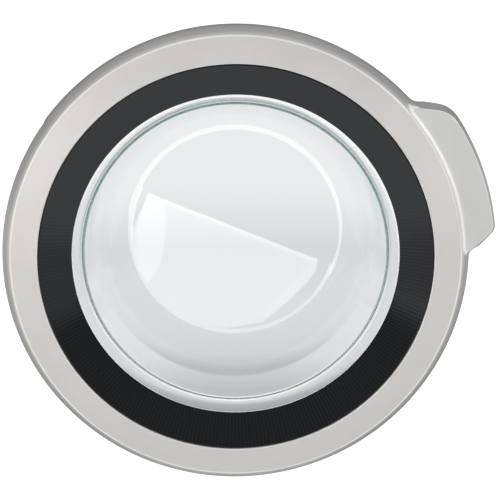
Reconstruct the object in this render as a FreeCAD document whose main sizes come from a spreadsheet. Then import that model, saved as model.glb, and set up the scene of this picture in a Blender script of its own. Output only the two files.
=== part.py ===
import FreeCAD, Part
import Sketcher
import math
import os
import re

# Washing machine door, in millimetres.
# The bowl's axis is Y, the front looks along -Y, and y = 0 is the front of the cabinet.
# "Depth" is the distance of a point in front of the cabinet, so a depth d lies at y = -d.

doc = FreeCAD.newDocument("washing_machine_door")
sizes = doc.addObject("Spreadsheet::Sheet", "Sizes")

SIZES = [
    # front ring
    ("ring_back_radius", 230.0, "outer radius of the skirt at its back edge"),
    ("ring_back_depth", 6.0, "gap from the cabinet to the back edge of the skirt"),
    ("ring_lean", 0.8, "how far the skirt leans in from its back edge to its turn"),
    ("ring_bulge_depth", 13.0, "depth where the skirt turns in to the face"),
    ("ring_face_inset", 8.0, "how far the edge of the front face lies inside the skirt"),
    ("ring_face_depth", 24.0, "depth of the outer edge of the front face"),
    ("ring_face_width", 27.2, "width of the front face, from its outer edge to the inner lip"),
    ("ring_lip_depth", 31.5, "depth of the inner lip, the foremost part"),
    ("frame_wall", 2.5, "wall of the front ring"),
    ("ring_bulge_round", 15.0, "rounding where the skirt turns in"),
    ("ring_edge_round", 3.5, "rounding between the face and the skirt"),
    ("ring_lip_round", 1.2, "rounding of the inner lip"),
    ("ring_lip_return", 5.0, "length of the inner lip towards the back"),
    ("relief_depth", 10.0, "depth of the skirt's back edge on the hinge side"),
    ("relief_half_angle", 35.5, "half angle of the relief on the hinge side, degrees"),
    ("relief_span", 19.0, "width of the relief's cut, in from the skirt"),
    ("relief_clear", 3.0, "how far the relief's cut starts outside the skirt"),
    # pull wing
    ("wing_reach", 27.0, "how far the wing stands out from the skirt"),
    ("wing_back_depth", 7.5, "depth of the wing's back edge"),
    ("wing_face_depth", 20.0, "depth of the wing's flat front"),
    ("wing_top_root_angle", 42.0, "angle where the wing's top edge leaves the ring, degrees"),
    ("wing_top_angle", 35.0, "angle of the wing's top outer corner, degrees"),
    ("wing_low_angle", 4.9, "angle of the wing's low outer corner, degrees"),
    ("wing_low_root_angle", -0.9, "angle where the wing's low edge leaves the ring, degrees"),
    ("wing_top_round", 28.0, "rounding of the top outer corner"),
    ("wing_low_round", 12.0, "rounding of the low outer corner"),
    ("wing_flare", 2.2, "how much wider the wing is at its back edge than at its front"),
    ("wing_side_angle", 0.25, "angle that the wing's sides draw in for each mm of flare, degrees"),
    ("wing_root_step", 0.5, "how far the wing's root corners stand out of the ring"),
    ("wing_root_sink", 1.0, "how far the ends of the wing's root lie sunk in the ring"),
    ("wing_root_wall", 1.8, "thickness of the wing's root inside the ring's wall"),
    ("wing_root_spread", 10.0, "angle that the root runs on inside the ring's wall, degrees"),
    ("wing_edge_round", 1.5, "rounding of the wing's front edge"),
    ("crease_inset", 5.5, "how far inside the face's edge the crease begins"),
    ("crease_width", 7.0, "width of the crease's slope"),
    ("crease_spread", 1.0, "angle that the crease runs on past the wing's roots, degrees"),
    ("crease_top_round", 14.0, "rounding at the top of the crease"),
    ("crease_low_round", 9.0, "rounding at the foot of the crease"),
    ("crease_run", 8.0, "how far the cut of the crease reaches over the face"),
    ("crease_lift", 0.05, "how far the cut of the crease starts clear of the face"),
    # finger tray behind the wing
    ("tray_gap", 0.3, "gap between the finger tray and the wing's pocket"),
    ("tray_wall", 2.2, "wall of the finger tray"),
    ("tray_back_depth", 8.0, "depth of the finger tray's rim"),
    ("pocket_wall", 3.0, "wall between the skirt and the pocket behind the wing"),
    ("pocket_top_angle", 1.5, "angle from the wing's top corner to the pocket's end, degrees"),
    ("pocket_top_root_angle", 0.5, "the same at the pocket's root, degrees"),
    ("pocket_low_angle", 1.2, "angle from the wing's low corner to the pocket's end, degrees"),
    ("pocket_low_root_angle", 1.5, "the same at the pocket's root, degrees"),
    ("pocket_inner_round", 4.0, "rounding of the pocket's inner corners"),
    ("pocket_outer_round", 6.0, "rounding of the pocket's outer corners"),
    # dark trim ring
    ("trim_gap", 0.3, "gap between the trim and the lip of the front ring"),
    ("trim_set_back", 1.2, "how far the trim's outer edge lies behind the lip"),
    ("trim_width", 33.4, "width of the trim, from its outer to its inner edge"),
    ("trim_stand", 1.3, "height of the trim's inner edge above the glass"),
    ("trim_wall", 2.5, "wall of the trim"),
    ("trim_foot", 6.0, "width of the trim's foot on the glass"),
    ("trim_edge_round", 0.8, "rounding of the trim's outer edge"),
    ("trim_foot_round", 0.5, "rounding of the trim's inner edge"),
    ("trim_flange", 5.0, "width of the flange that hooks behind the lip"),
    # glass
    ("glass_front_depth", 15.0, "depth of the front of the glass flange"),
    ("glass_wall", 5.0, "thickness of the glass"),
    ("trim_cover", 16.6, "how much of the glass flange lies under the trim"),
    ("glass_flange_width", 27.2, "width of the glass flange up to the bowl's wall"),
    ("glass_mouth_round", 14.0, "rounding of the bowl's mouth, on the front"),
    ("glass_draft", 15.9, "how much narrower the bowl is at its base than at its mouth"),
    ("glass_base_reach", 76.0, "reach of the bowl's base behind the cabinet front, inside"),
    ("glass_base_round", 38.0, "rounding between the bowl's wall and base, inside"),
    ("glass_rim_round", 1.0, "rounding of the glass flange's rim"),
    # back frame
    ("plate_wall", 2.5, "wall of the back frame"),
    ("plate_overlap", 14.7, "how far the back frame reaches in behind the glass flange"),
    ("plate_gap", 5.5, "gap between the back frame and the skirt"),
    ("plate_rim_depth", 16.0, "depth that the back frame's rim reaches forward to"),
    ("collar_depth", 4.0, "depth of the back edge of the collar round the glass"),
    ("collar_wall", 3.0, "wall of the collar round the glass"),
    ("plate_edge_round", 2.0, "rounding of the back frame's outer edge"),
    ("collar_round", 1.0, "roundings of the collar"),
    ("glass_seat_wall", 2.0, "wall of the rib round the glass flange"),
    ("glass_seat_height", 4.0, "height of the rib round the glass flange"),
    ("glass_seat_gap", 0.3, "gap round the rim of the glass flange"),
    # screws between the two frames
    ("frame_screw_offset", 9.2, "distance of the frame screws outside the inner lip"),
    ("frame_screw_first_angle", 15.0, "angle of the first frame screw, degrees"),
    ("frame_screw_radius", 1.5, "radius of the frame screws"),
    ("frame_screw_head_radius", 3.4, "radius of the frame screws' heads"),
    ("frame_screw_head", 2.2, "height of the frame screws' heads"),
    ("frame_screw_length", 11.0, "length of the frame screws under the head"),
    ("frame_boss_radius", 4.0, "radius of the bosses in the front ring"),
    ("frame_boss_skin", 0.8, "wall left in front of the bosses"),
    ("frame_pilot_spare", 1.0, "depth of a pilot hole beyond the screw's tip"),
    ("frame_screw_count", 12, "number of frame screws"),
    ("screw_gap", 0.1, "gap round a screw in its hole"),
    ("screw_hole_gap", 0.3, "gap round a screw in the back frame"),
    ("fit_gap", 0.02, "gap round a pin or bush in its seat"),
    ("cut_spare", 1.0, "how far a through cut starts outside the piece"),
    # rubber buffers
    ("buffer_offset", 14.0, "distance of the buffers outside the glass seat"),
    ("buffer_first_angle", 50.0, "angle of the first buffer, degrees"),
    ("buffer_radius", 6.5, "radius of a buffer"),
    ("buffer_count", 4, "number of buffers"),
    ("buffer_back_depth", 1.0, "depth of the buffers' back faces"),
    # hinge
    ("hinge_axis_inset", 15.5, "distance of the hinge axis inside the skirt"),
    ("hinge_axis_depth", 17.0, "depth of the hinge axis"),
    ("hinge_eye_radius", 4.8, "radius of the hinge's eyes"),
    ("hinge_pin_radius", 2.5, "radius of the hinge pin"),
    ("hinge_pin_gap", 0.05, "running gap between the pin and the bushes"),
    ("hinge_bush_radius", 3.5, "outer radius of the bushes"),
    ("hinge_bush_length", 9.0, "length of a bush inside the knuckle"),
    ("hinge_bush_flange", 0.9, "thickness of a bush's flange"),
    ("hinge_bush_inset", 0.2, "how much smaller a bush's flange is than the knuckle"),
    ("hinge_knuckle_half", 18.0, "half the height of the arm's knuckle"),
    ("hinge_ear_gap", 0.1, "gap between a bush's flange and the bracket's ear"),
    ("hinge_ear_height", 8.0, "height of each ear of the bracket"),
    ("hinge_neck_reach", 26.0, "reach of the goose necks from the hinge axis"),
    ("hinge_neck_width", 7.5, "width of the goose necks where they meet the leaf"),
    ("hinge_neck_slope", 5.0, "length of the slope at the top of the goose necks"),
    ("hinge_neck_drop", 1.0, "depth of that slope's end behind the hinge axis"),
    ("hinge_neck_under", 2.6, "depth of the goose necks' inner side behind the hinge axis"),
    ("hinge_neck_round", 3.0, "outer roundings of the goose necks"),
    ("hinge_neck_bend", 2.5, "inner rounding of the goose necks"),
    ("hinge_eye_bend", 1.5, "roundings between the eyes and the goose necks"),
    ("hinge_eye_run", 1.2, "length of the eyes' run into the goose necks"),
    ("hinge_eye_flat", 1.0, "width of the flat on the back of the eyes"),
    ("hinge_eye_spare", 0.1, "straight left between an eye's roundings"),
    ("hinge_leaf_wall", 3.0, "thickness of the bracket's leaf"),
    ("hinge_leaf_near_round", 4.0, "rounding of the leaf's corners near the axis"),
    ("hinge_leaf_far_round", 8.0, "rounding of the leaf's corners far from the axis"),
    ("hinge_leaf_start", 11.5, "distance from the hinge axis to the leaf's near edge"),
    ("hinge_leaf_width", 29.0, "width of the bracket's leaf"),
    ("hinge_leaf_margin", 9.0, "height of the bracket's leaf beyond its bolt holes"),
    ("hinge_hole_spacing", 74.0, "distance between the bracket's two bolt holes"),
    ("hinge_hole_radius", 2.75, "radius of the bracket's bolt holes"),
    ("hinge_arm_wall", 3.5, "thickness of the arm's strap"),
    ("hinge_arm_run", 0.7, "length of the knuckle's run into the strap"),
    ("hinge_arm_start", 1.5, "distance from the hinge axis to the strap's near edge"),
    ("hinge_arm_bend", 2.0, "roundings between the knuckle and the strap"),
    ("hinge_arm_end_round", 1.0, "rounding of the strap's end"),
    ("hinge_arm_gap", 0.5, "gap between the end of the arm's strap and the glass seat"),
    ("hinge_arm_half", 17.0, "half the height of the arm's strap"),
    ("hinge_head_radius", 4.0, "radius of the hinge pin's head"),
    ("hinge_head", 1.6, "height of the hinge pin's head"),
    ("hinge_clip_wall", 0.8, "thickness of the clip on the hinge pin"),
    ("hinge_clip_radius", 4.2, "outer radius of the clip on the hinge pin"),
    ("hinge_groove_radius", 1.9, "radius of the groove for the clip"),
    ("hinge_clip_gap", 0.2, "gap between the ear and the clip's groove"),
    ("hinge_clip_play", 0.05, "play of the clip in its groove, on each side"),
    ("hinge_clip_fit", 0.03, "gap between the clip and the groove's floor"),
    ("hinge_clip_mouth", 1.52, "half the width of the clip's mouth"),
    ("hinge_pin_tail", 1.2, "length of the pin beyond the groove"),
    ("arm_screw_near", 12.0, "distance of the near arm screws from the hinge axis"),
    ("arm_screw_far", 29.0, "distance of the far arm screws from the hinge axis"),
    ("arm_screw_half", 10.0, "half the height between the arm screws"),
    ("arm_screw_radius", 1.9, "radius of the arm screws"),
    ("arm_screw_head_radius", 3.3, "radius of the arm screws' heads"),
    ("arm_screw_head", 2.0, "height of the arm screws' heads"),
    ("arm_hole_gap", 0.2, "gap round an arm screw in the back frame"),
    ("arm_thread_gap", 0.05, "gap round an arm screw in the strap"),
    ("hinge_window_gap", 1.5, "gap round the bracket's ears in the back frame"),
    ("knuckle_window_gap", 2.2, "gap beside the knuckle in the back frame"),
    # latch
    ("hook_inset", 29.0, "distance of the hook's pin inside the skirt"),
    ("hook_depth", 15.0, "depth of the hook's pin"),
    ("hook_pin_radius", 2.0, "radius of the hook's pin"),
    ("hook_pin_gap", 0.06, "running gap between the hook and its pin"),
    ("hook_half", 6.0, "half the height of the hook"),
    ("hook_reach", 25.0, "reach of the hook behind the cabinet front"),
    ("hook_throat_reach", 12.0, "reach of the hook's catching face"),
    ("hook_shank_half", 4.5, "half the width of the hook's shank"),
    ("hook_beak", 6.5, "how far the beak stands out from the shank"),
    ("hook_eye_half", 5.0, "half the width of the hook's eye"),
    ("hook_eye_round", 4.5, "rounding of the hook's eye"),
    ("hook_throat_round", 1.5, "rounding of the hook's throat"),
    ("hook_beak_wall", 2.5, "thickness of the beak at its tip"),
    ("hook_beak_round", 0.6, "rounding of the beak's catching edge"),
    ("hook_tip_round", 1.0, "rounding of the beak's leading edge"),
    ("hook_end_taper", 1.5, "how much the hook narrows at its end, on each side"),
    ("hook_end_round", 3.0, "rounding of the hook's end under the beak"),
    ("hook_back_round", 2.0, "rounding of the hook's end on its back"),
    ("hook_ear_wall", 3.0, "thickness of the ears that hold the hook's pin"),
    ("hook_ear_half", 6.0, "half the width of the ears that hold the hook's pin"),
    ("hook_ear_sink", 0.5, "how far the ears are sunk in the back frame"),
    ("hook_ear_depth", 20.0, "depth that the ears reach forward to"),
    ("hook_side_gap", 4.0, "gap between the hook and each ear"),
    ("hook_window_in", 10.0, "reach of the hook's window towards the bowl"),
    ("hook_window_out", 14.0, "reach of the hook's window away from the bowl"),
    ("hook_window_half", 8.0, "half the height of the hook's window"),
    ("spring_coil_radius", 3.2, "mean radius of the spring's coil"),
    ("spring_wire_radius", 0.45, "radius of the spring's wire"),
    ("spring_pitch", 1.05, "pitch of the spring's coil"),
    ("spring_turns", 2.5, "turns of the spring's coil"),
    ("spring_gap", 0.2, "gap between the hook and the spring"),
]

for row, (name, number_value, note) in enumerate(SIZES, start=1):
    sizes.set("A%d" % row, name)
    sizes.set("B%d" % row, str(number_value))
    sizes.set("C%d" % row, note)
    sizes.setAlias("B%d" % row, name)
doc.recompute()

NAMES = re.compile(r"\b(" + "|".join(entry[0] for entry in SIZES) + r")\b")
# radii round the bowl's axis, worked out from the skirt inwards
BULGE_RADIUS = "(ring_back_radius - ring_lean)"
FACE_RADIUS = "(ring_back_radius - ring_face_inset)"
LIP_RADIUS = "(" + FACE_RADIUS + " - ring_face_width)"
WING_RADIUS = "(ring_back_radius + wing_reach)"
TURN_SLOPE = "((ring_face_inset - ring_lean) / (ring_face_depth - ring_bulge_depth))"
WING_ROOT = "(%s + (ring_face_depth - wing_face_depth) * %s)" % (FACE_RADIUS, TURN_SLOPE)
CREASE_IN = "(" + FACE_RADIUS + " - crease_inset)"
CREASE_OUT = "(" + CREASE_IN + " + crease_width)"
TRIM_OUT = "(" + LIP_RADIUS + " - trim_gap)"
TRIM_IN = "(" + TRIM_OUT + " - trim_width)"
FLANGE_RADIUS = "(" + TRIM_IN + " + trim_cover)"
MOUTH_RADIUS = "(" + FLANGE_RADIUS + " - glass_flange_width)"
BASE_RADIUS = "(" + MOUTH_RADIUS + " - glass_draft)"
SEAT_IN = "(" + FLANGE_RADIUS + " + glass_seat_gap)"
SEAT_OUT = "(" + SEAT_IN + " + glass_seat_wall)"
PLATE_IN = "(" + FLANGE_RADIUS + " - plate_overlap)"
PLATE_RADIUS = "(ring_back_radius - frame_wall - plate_gap)"
SCREW_CIRCLE = "(" + LIP_RADIUS + " + frame_screw_offset)"
BUFFER_CIRCLE = "(" + SEAT_IN + " + buffer_offset)"
HOOK_X = "(ring_back_radius - hook_inset)"
AXIS_X = "(hinge_axis_inset - ring_back_radius)"

# slopes and depths that several pieces share
FACE_SLOPE = "((ring_lip_depth - ring_face_depth) / ring_face_width)"
TRIM_IN_DEPTH = "(glass_front_depth + trim_stand)"
PLATE_FRONT = "(glass_front_depth - glass_wall)"
PLATE_BACK = "(glass_front_depth - glass_wall - plate_wall)"
GLASS_TAPER = "(glass_draft / (glass_front_depth + glass_base_reach))"
GLASS_SIDE = "(glass_wall * sqrt(1 + " + GLASS_TAPER + " ^ 2))"


def linked(text):
    """The expression with each size written as a cell of the sheet."""
    return NAMES.sub(r"Sizes.\1", str(text))


def minus(text):
    return "0" if text == "0" else "-(" + str(text) + ")"


def polar(radius, angle):
    """Corner on a circle round the bowl's axis, as seen from the front."""
    return ("(%s) * cos(%s)" % (radius, angle), "(%s) * sin(%s)" % (radius, angle))


def value_of(sketch, text):
    return float(sketch.evalExpression(linked(text)))


def new_body(name):
    body = doc.addObject("PartDesign::Body", name)
    body.Label = name
    return body


def sketch_on(body, role, name, offset="0"):
    """Sketch on one of the body's own planes, moved along the plane's normal."""
    plane = [item for item in body.Origin.OriginFeatures if item.Role == role][0]
    sketch = body.newObject("Sketcher::SketchObject", name)
    sketch.AttachmentSupport = [(plane, "")]
    sketch.MapMode = "FlatFace"
    sketch.setExpression("AttachmentOffset.Base.z", linked(offset))
    return sketch


def add_rules(sketch, rules):
    """Rules are (constraint, expression); all go in at once, so that none moves the drawing."""
    indexes = sketch.addConstraint([rule[0] for rule in rules])
    for index, rule in zip(indexes, rules):
        if rule[1] is not None:
            sketch.setExpression("Constraints[%d]" % index, linked(rule[1]))


def point_rules(geometry, position, point, corner):
    """A coordinate of 0 puts the point on the sketch's axis."""
    rules = []
    across = ("DistanceX", -2, point.x, corner[0])
    along = ("DistanceY", -1, point.y, corner[1])
    for kind, axis, number, text in (across, along):
        if text == "0":
            rules.append((Sketcher.Constraint("PointOnObject", geometry, position, axis), None))
        else:
            rules.append((Sketcher.Constraint(kind, -1, 1, geometry, position, number), text))
    return rules


def draw_profile(sketch, corners, arcs=()):
    """Closed outline of corners (x, y). An arc is (its first corner's number, radius, side of its centre)."""
    points = []
    for corner in corners:
        points.append(FreeCAD.Vector(value_of(sketch, corner[0]), value_of(sketch, corner[1]), 0))
    bends = dict((arc[0], arc[1:]) for arc in arcs)
    pieces = []
    for i, start in enumerate(points):
        end = points[(i + 1) % len(points)]
        piece = Part.LineSegment(start, end)
        first = 1
        if i in bends:
            radius = value_of(sketch, bends[i][0])
            chord = end - start
            side = FreeCAD.Vector(-chord.y, chord.x, 0).normalize() * bends[i][1]
            centre = (start + end) * 0.5 + side * math.sqrt(radius ** 2 - (chord.Length / 2) ** 2)
            circle = Part.Circle(centre, FreeCAD.Vector(0, 0, 1), radius)
            first = 1 if bends[i][1] > 0 else 2
            tips = [math.atan2(tip.y - centre.y, tip.x - centre.x) for tip in (start, end)]
            low, high = tips if first == 1 else (tips[1], tips[0])
            piece = Part.ArcOfCircle(circle, low, high if high > low else high + 2 * math.pi)
        pieces.append((sketch.addGeometry(piece, False), first, 3 - first))
    rules = []
    for i, point in enumerate(points):
        before = pieces[i - 1]
        after = pieces[i]
        rules.append((Sketcher.Constraint("Coincident", before[0], before[2], after[0], after[1]), None))
        rules += point_rules(after[0], after[1], point, corners[i])
        if i in bends:
            radius = value_of(sketch, bends[i][0])
            rules.append((Sketcher.Constraint("Radius", after[0], radius), bends[i][0]))
    add_rules(sketch, rules)


def draw_circle(sketch, x, y, radius):
    centre = FreeCAD.Vector(value_of(sketch, x), value_of(sketch, y), 0)
    size = value_of(sketch, radius)
    circle = Part.Circle(centre, FreeCAD.Vector(0, 0, 1), size)
    index = sketch.addGeometry(circle, False)
    rules = point_rules(index, 3, centre, (x, y))
    rules.append((Sketcher.Constraint("Radius", index, size), radius))
    add_rules(sketch, rules)


def draw_box(sketch, x_low, x_high, y_low, y_high):
    corners = [(x_low, y_low), (x_high, y_low), (x_high, y_high), (x_low, y_high)]
    draw_profile(sketch, corners)


def section(corners):
    """Corners given as (radius, depth, rounding), turned into sketch corners."""
    return [(c[0], minus(c[1])) + tuple(c[2:]) for c in corners]


def sharp(corners):
    return [corner[:2] for corner in corners]


def rounded(body, name, corners, place):
    """Rounds the edges that stand on the rounded corners of an outline, one feature for each size."""
    radii = []
    for corner in corners:
        if len(corner) > 2 and corner[2] not in radii:
            radii.append(corner[2])
    for count, radius in enumerate(radii, start=1):
        doc.recompute()
        base = body.Tip
        spots = []
        for corner in corners:
            if len(corner) > 2 and corner[2] == radius:
                spots.append((value_of(body, corner[0]), value_of(body, corner[1])))
        edges = []
        for index, edge in enumerate(base.Shape.Edges, start=1):
            span = edge.LastParameter - edge.FirstParameter
            seen = [place(edge.valueAt(edge.FirstParameter + span * part)) for part in (0.0, 0.4, 1.0)]
            for x, y in spots:
                if all(math.hypot(point[0] - x, point[1] - y) < 0.01 for point in seen):
                    edges.append("Edge%d" % index)
        feature = body.newObject("PartDesign::Fillet", "%sRound%d" % (name, count))
        feature.Base = (base, edges)
        feature.setExpression("Radius", linked(radius))


def on_section(point):
    """Where a point lies in the section round the bowl's axis."""
    return (math.hypot(point.x, point.z), point.y)


def from_above(point):
    return (point.x, point.y)


def from_front(point):
    return (point.x, point.z)


def turned(body, name, corners, kind="PartDesign::Revolution", angle="360", middle_angle=None, arcs=()):
    """Section turned round the bowl's axis, all the way or over a sector."""
    sketch = sketch_on(body, "XY_Plane", name + "Section")
    draw_profile(sketch, sharp(section(corners)), arcs)
    if middle_angle is not None:
        turn = FreeCAD.Rotation(FreeCAD.Vector(0, -1, 0), value_of(sketch, middle_angle))
        sketch.AttachmentOffset = FreeCAD.Placement(FreeCAD.Vector(0, 0, 0), turn)
        sketch.setExpression("AttachmentOffset.Rotation.Angle", linked(middle_angle))
    feature = body.newObject(kind, name)
    feature.Profile = sketch
    feature.ReferenceAxis = (sketch, ["V_Axis"])
    feature.Midplane = middle_angle is not None
    feature.setExpression("Angle", linked(angle))
    sketch.Visibility = False
    rounded(body, name, section(corners), on_section)
    return feature


def prism(body, name, plane, low, length, corners):
    """Outline padded along its plane's normal, with its rounded corners."""
    sketch = sketch_on(body, plane, name + "Outline", low)
    draw_profile(sketch, sharp(corners))
    feature = padded(body, name, sketch, length)
    rounded(body, name, corners, from_above if plane == "XY_Plane" else from_front)
    return feature


def padded(body, name, sketch, length):
    feature = body.newObject("PartDesign::Pad", name)
    feature.Profile = sketch
    feature.setExpression("Length", linked(length))
    sketch.Visibility = False
    return feature


def cut_back(body, name, sketch, length):
    """Pocket from the sketch's plane against its normal."""
    feature = body.newObject("PartDesign::Pocket", name)
    feature.Profile = sketch
    feature.setExpression("Length", linked(length))
    sketch.Visibility = False
    return feature


def ringed(body, name, originals, count):
    """The same features repeated round the bowl's axis."""
    axis = [item for item in body.Origin.OriginFeatures if item.Role == "Y_Axis"][0]
    feature = body.newObject("PartDesign::PolarPattern", name)
    feature.Originals = originals
    feature.Axis = (axis, [""])
    feature.Angle = 360
    feature.setExpression("Occurrences", linked(count))
    body.Tip = feature
    return feature


def face_depth(radius):
    """Depth of the ring's front face at a radius."""
    return "(ring_face_depth + (%s - (%s)) * %s)" % (FACE_RADIUS, radius, FACE_SLOPE)


# front ring with the pull wing
outer_frame = new_body("outer_frame")
INNER_FACE = "(ring_face_depth - frame_wall)"
lip_inside = "(%s + (ring_face_width - 2 * frame_wall) * %s)" % (INNER_FACE, FACE_SLOPE)
turned(outer_frame, "RingShell", [
    (LIP_RADIUS, "ring_lip_depth", "ring_lip_round"),
    (FACE_RADIUS, "ring_face_depth", "ring_edge_round"),
    (BULGE_RADIUS, "ring_bulge_depth", "ring_bulge_round"),
    ("ring_back_radius", "ring_back_depth"),
    ("ring_back_radius - frame_wall", "ring_back_depth"),
    (BULGE_RADIUS + " - frame_wall", "ring_bulge_depth"),
    (FACE_RADIUS + " - frame_wall", INNER_FACE),
    (LIP_RADIUS + " + frame_wall", lip_inside),
    (LIP_RADIUS + " + frame_wall", "ring_lip_depth - ring_lip_return"),
    (LIP_RADIUS, "ring_lip_depth - ring_lip_return"),
])

# the S-shaped crease between the ring's face and the wing's flat, two arcs with a slope between
CREASE_TOP = "(" + face_depth(CREASE_IN) + " + crease_lift)"
CREASE_TURN = "atan((%s - wing_face_depth) / crease_width)" % CREASE_TOP
FACE_TURN = "atan(%s)" % FACE_SLOPE
TOP_REACH = "(crease_top_round * tan((%s - %s) / 2))" % (CREASE_TURN, FACE_TURN)
LOW_REACH = "(crease_low_round * tan(%s / 2))" % CREASE_TURN
turned(outer_frame, "WingCrease", [
    (CREASE_IN + " - crease_run", face_depth(CREASE_IN + " - crease_run") + " + crease_lift"),
    ("%s - %s * cos(%s)" % (CREASE_IN, TOP_REACH, FACE_TURN),
     "%s + %s * sin(%s)" % (CREASE_TOP, TOP_REACH, FACE_TURN)),
    ("%s + %s * cos(%s)" % (CREASE_IN, TOP_REACH, CREASE_TURN),
     "%s - %s * sin(%s)" % (CREASE_TOP, TOP_REACH, CREASE_TURN)),
    ("%s - %s * cos(%s)" % (CREASE_OUT, LOW_REACH, CREASE_TURN),
     "wing_face_depth + %s * sin(%s)" % (LOW_REACH, CREASE_TURN)),
    (CREASE_OUT + " + " + LOW_REACH, "wing_face_depth"),
    (WING_RADIUS, "wing_face_depth"),
    (WING_RADIUS, "ring_lip_depth + crease_run"),
    (CREASE_IN + " - crease_run", "ring_lip_depth + crease_run"),
], "PartDesign::Groove", "wing_top_root_angle - wing_low_root_angle + 2 * crease_spread",
    "(wing_top_root_angle + wing_low_root_angle) / 2",
    ((1, "crease_top_round", 1), (3, "crease_low_round", -1)))

# the wing grows out of the ring's wall, smaller towards the front
def wing_outline(inset, root):
    """Outline of the wing, and of the part of the ring's wall that it grows from."""
    inner = "(%s - wing_root_wall - wing_root_sink)" % root
    outer = "(%s - %s)" % (WING_RADIUS, inset)
    side = "wing_side_angle * " + inset
    corners = [
        polar(inner, "wing_top_root_angle + wing_root_spread"),
        polar(root + " - wing_root_sink", "wing_top_root_angle + wing_root_spread"),
        polar(root + " + wing_root_step", "wing_top_root_angle - " + side),
        polar(outer, "wing_top_angle - " + side) + ("wing_top_round",),
        polar(outer, "wing_low_angle + " + side) + ("wing_low_round",),
        polar(root + " + wing_root_step", "wing_low_root_angle + " + side),
        polar(root + " - wing_root_sink", "wing_low_root_angle - wing_root_spread"),
        polar(inner, "wing_low_root_angle - wing_root_spread"),
    ]
    return corners, ((3, outer, -1), (7, inner, 1))


wing_foot = sketch_on(outer_frame, "XZ_Plane", "WingFoot", "wing_back_depth")
foot_corners, foot_arcs = wing_outline("0", "ring_back_radius")
draw_profile(wing_foot, sharp(foot_corners), foot_arcs)
wing_top = sketch_on(outer_frame, "XZ_Plane", "WingTop", "wing_face_depth")
top_corners, top_arcs = wing_outline("wing_flare", WING_ROOT)
draw_profile(wing_top, sharp(top_corners), top_arcs)
wing = outer_frame.newObject("PartDesign::AdditiveLoft", "Wing")
wing.Profile = wing_foot
wing.Sections = [wing_top]
wing.Ruled = True
wing_foot.Visibility = False
wing_top.Visibility = False


def wing_rounding(name, radius):
    """Rounds the slanting edges of the wing that stand on the corners with this rounding."""
    doc.recompute()
    base = outer_frame.Tip
    wing_height = value_of(wing_foot, "wing_face_depth - wing_back_depth")
    feet = []
    for corner in foot_corners:
        if len(corner) > 2 and corner[2] == radius:
            place = (value_of(wing_foot, corner[0]), value_of(wing_foot, corner[1]))
            feet.append(FreeCAD.Vector(place[0], -value_of(wing_foot, "wing_back_depth"), place[1]))
    edges = []
    for index, edge in enumerate(base.Shape.Edges, start=1):
        ends = [vertex.Point for vertex in edge.Vertexes]
        if len(ends) != 2 or abs(ends[0].y - ends[1].y) < wing_height / 2:
            continue
        for foot in feet:
            if min((end - foot).Length for end in ends) < 0.01:
                edges.append("Edge%d" % index)
    feature = outer_frame.newObject("PartDesign::Fillet", name)
    feature.Base = (base, edges)
    feature.setExpression("Radius", linked(radius))


wing_rounding("WingTopRound", "wing_top_round")
wing_rounding("WingLowRound", "wing_low_round")
doc.recompute()
wing_base = outer_frame.Tip
front_edges = []
root_limit = value_of(wing_top, WING_ROOT + " + wing_root_step / 2")
for index, edge in enumerate(wing_base.Shape.Edges, start=1):
    span = edge.LastParameter - edge.FirstParameter
    seen = [edge.valueAt(edge.FirstParameter + span * part) for part in (0.0, 0.5, 1.0)]
    flat = all(abs(point.y + value_of(wing_top, "wing_face_depth")) < 0.001 for point in seen)
    if flat and all(on_section(point)[0] > root_limit for point in seen):
        front_edges.append("Edge%d" % index)
wing_edge = outer_frame.newObject("PartDesign::Fillet", "WingEdgeRound")
wing_edge.Base = (wing_base, front_edges)
wing_edge.setExpression("Radius", linked("wing_edge_round"))

# finger pocket behind the wing
POCKET_DEPTH = "(wing_face_depth - frame_wall)"


def wing_pocket(inset):
    """Outline of the pocket behind the wing, drawn smaller by an inset."""
    outer = "(%s - wing_flare - frame_wall - %s)" % (WING_RADIUS, inset)
    inner = "(ring_back_radius + pocket_wall + %s)" % inset
    side = "wing_side_angle * " + inset
    corners = [
        polar(inner, "wing_top_angle - pocket_top_root_angle - " + side) + ("pocket_inner_round",),
        polar(outer, "wing_top_angle - pocket_top_angle - " + side) + ("pocket_outer_round",),
        polar(outer, "wing_low_angle + pocket_low_angle + " + side) + ("pocket_outer_round",),
        polar(inner, "wing_low_angle + pocket_low_root_angle + " + side) + ("pocket_inner_round",),
    ]
    return corners, ((1, outer, -1), (3, inner, 1))


pocket_outline = sketch_on(outer_frame, "XZ_Plane", "WingPocketOutline", POCKET_DEPTH)
pocket_corners, pocket_arcs = wing_pocket("0")
draw_profile(pocket_outline, sharp(pocket_corners), pocket_arcs)
cut_back(outer_frame, "WingPocket", pocket_outline, POCKET_DEPTH)
rounded(outer_frame, "WingPocket", pocket_corners, from_front)

# bosses for the screws that draw the two frames together
BOSS_TOP = "(%s - frame_boss_skin)" % face_depth(SCREW_CIRCLE + " + frame_boss_radius")
first_boss = polar(SCREW_CIRCLE, "frame_screw_first_angle")
boss_outline = sketch_on(outer_frame, "XZ_Plane", "BossOutline", PLATE_FRONT)
draw_circle(boss_outline, first_boss[0], first_boss[1], "frame_boss_radius")
boss = padded(outer_frame, "Boss", boss_outline, BOSS_TOP + " - " + PLATE_FRONT)
PILOT_TOP = "(%s + frame_screw_length + frame_pilot_spare)" % PLATE_BACK
pilot_outline = sketch_on(outer_frame, "XZ_Plane", "PilotOutline", PILOT_TOP)
draw_circle(pilot_outline, first_boss[0], first_boss[1], "frame_screw_radius + screw_gap")
pilot = cut_back(outer_frame, "Pilot", pilot_outline, PILOT_TOP + " - " + PLATE_FRONT)
ringed(outer_frame, "Bosses", [boss, pilot], "frame_screw_count")

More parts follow.
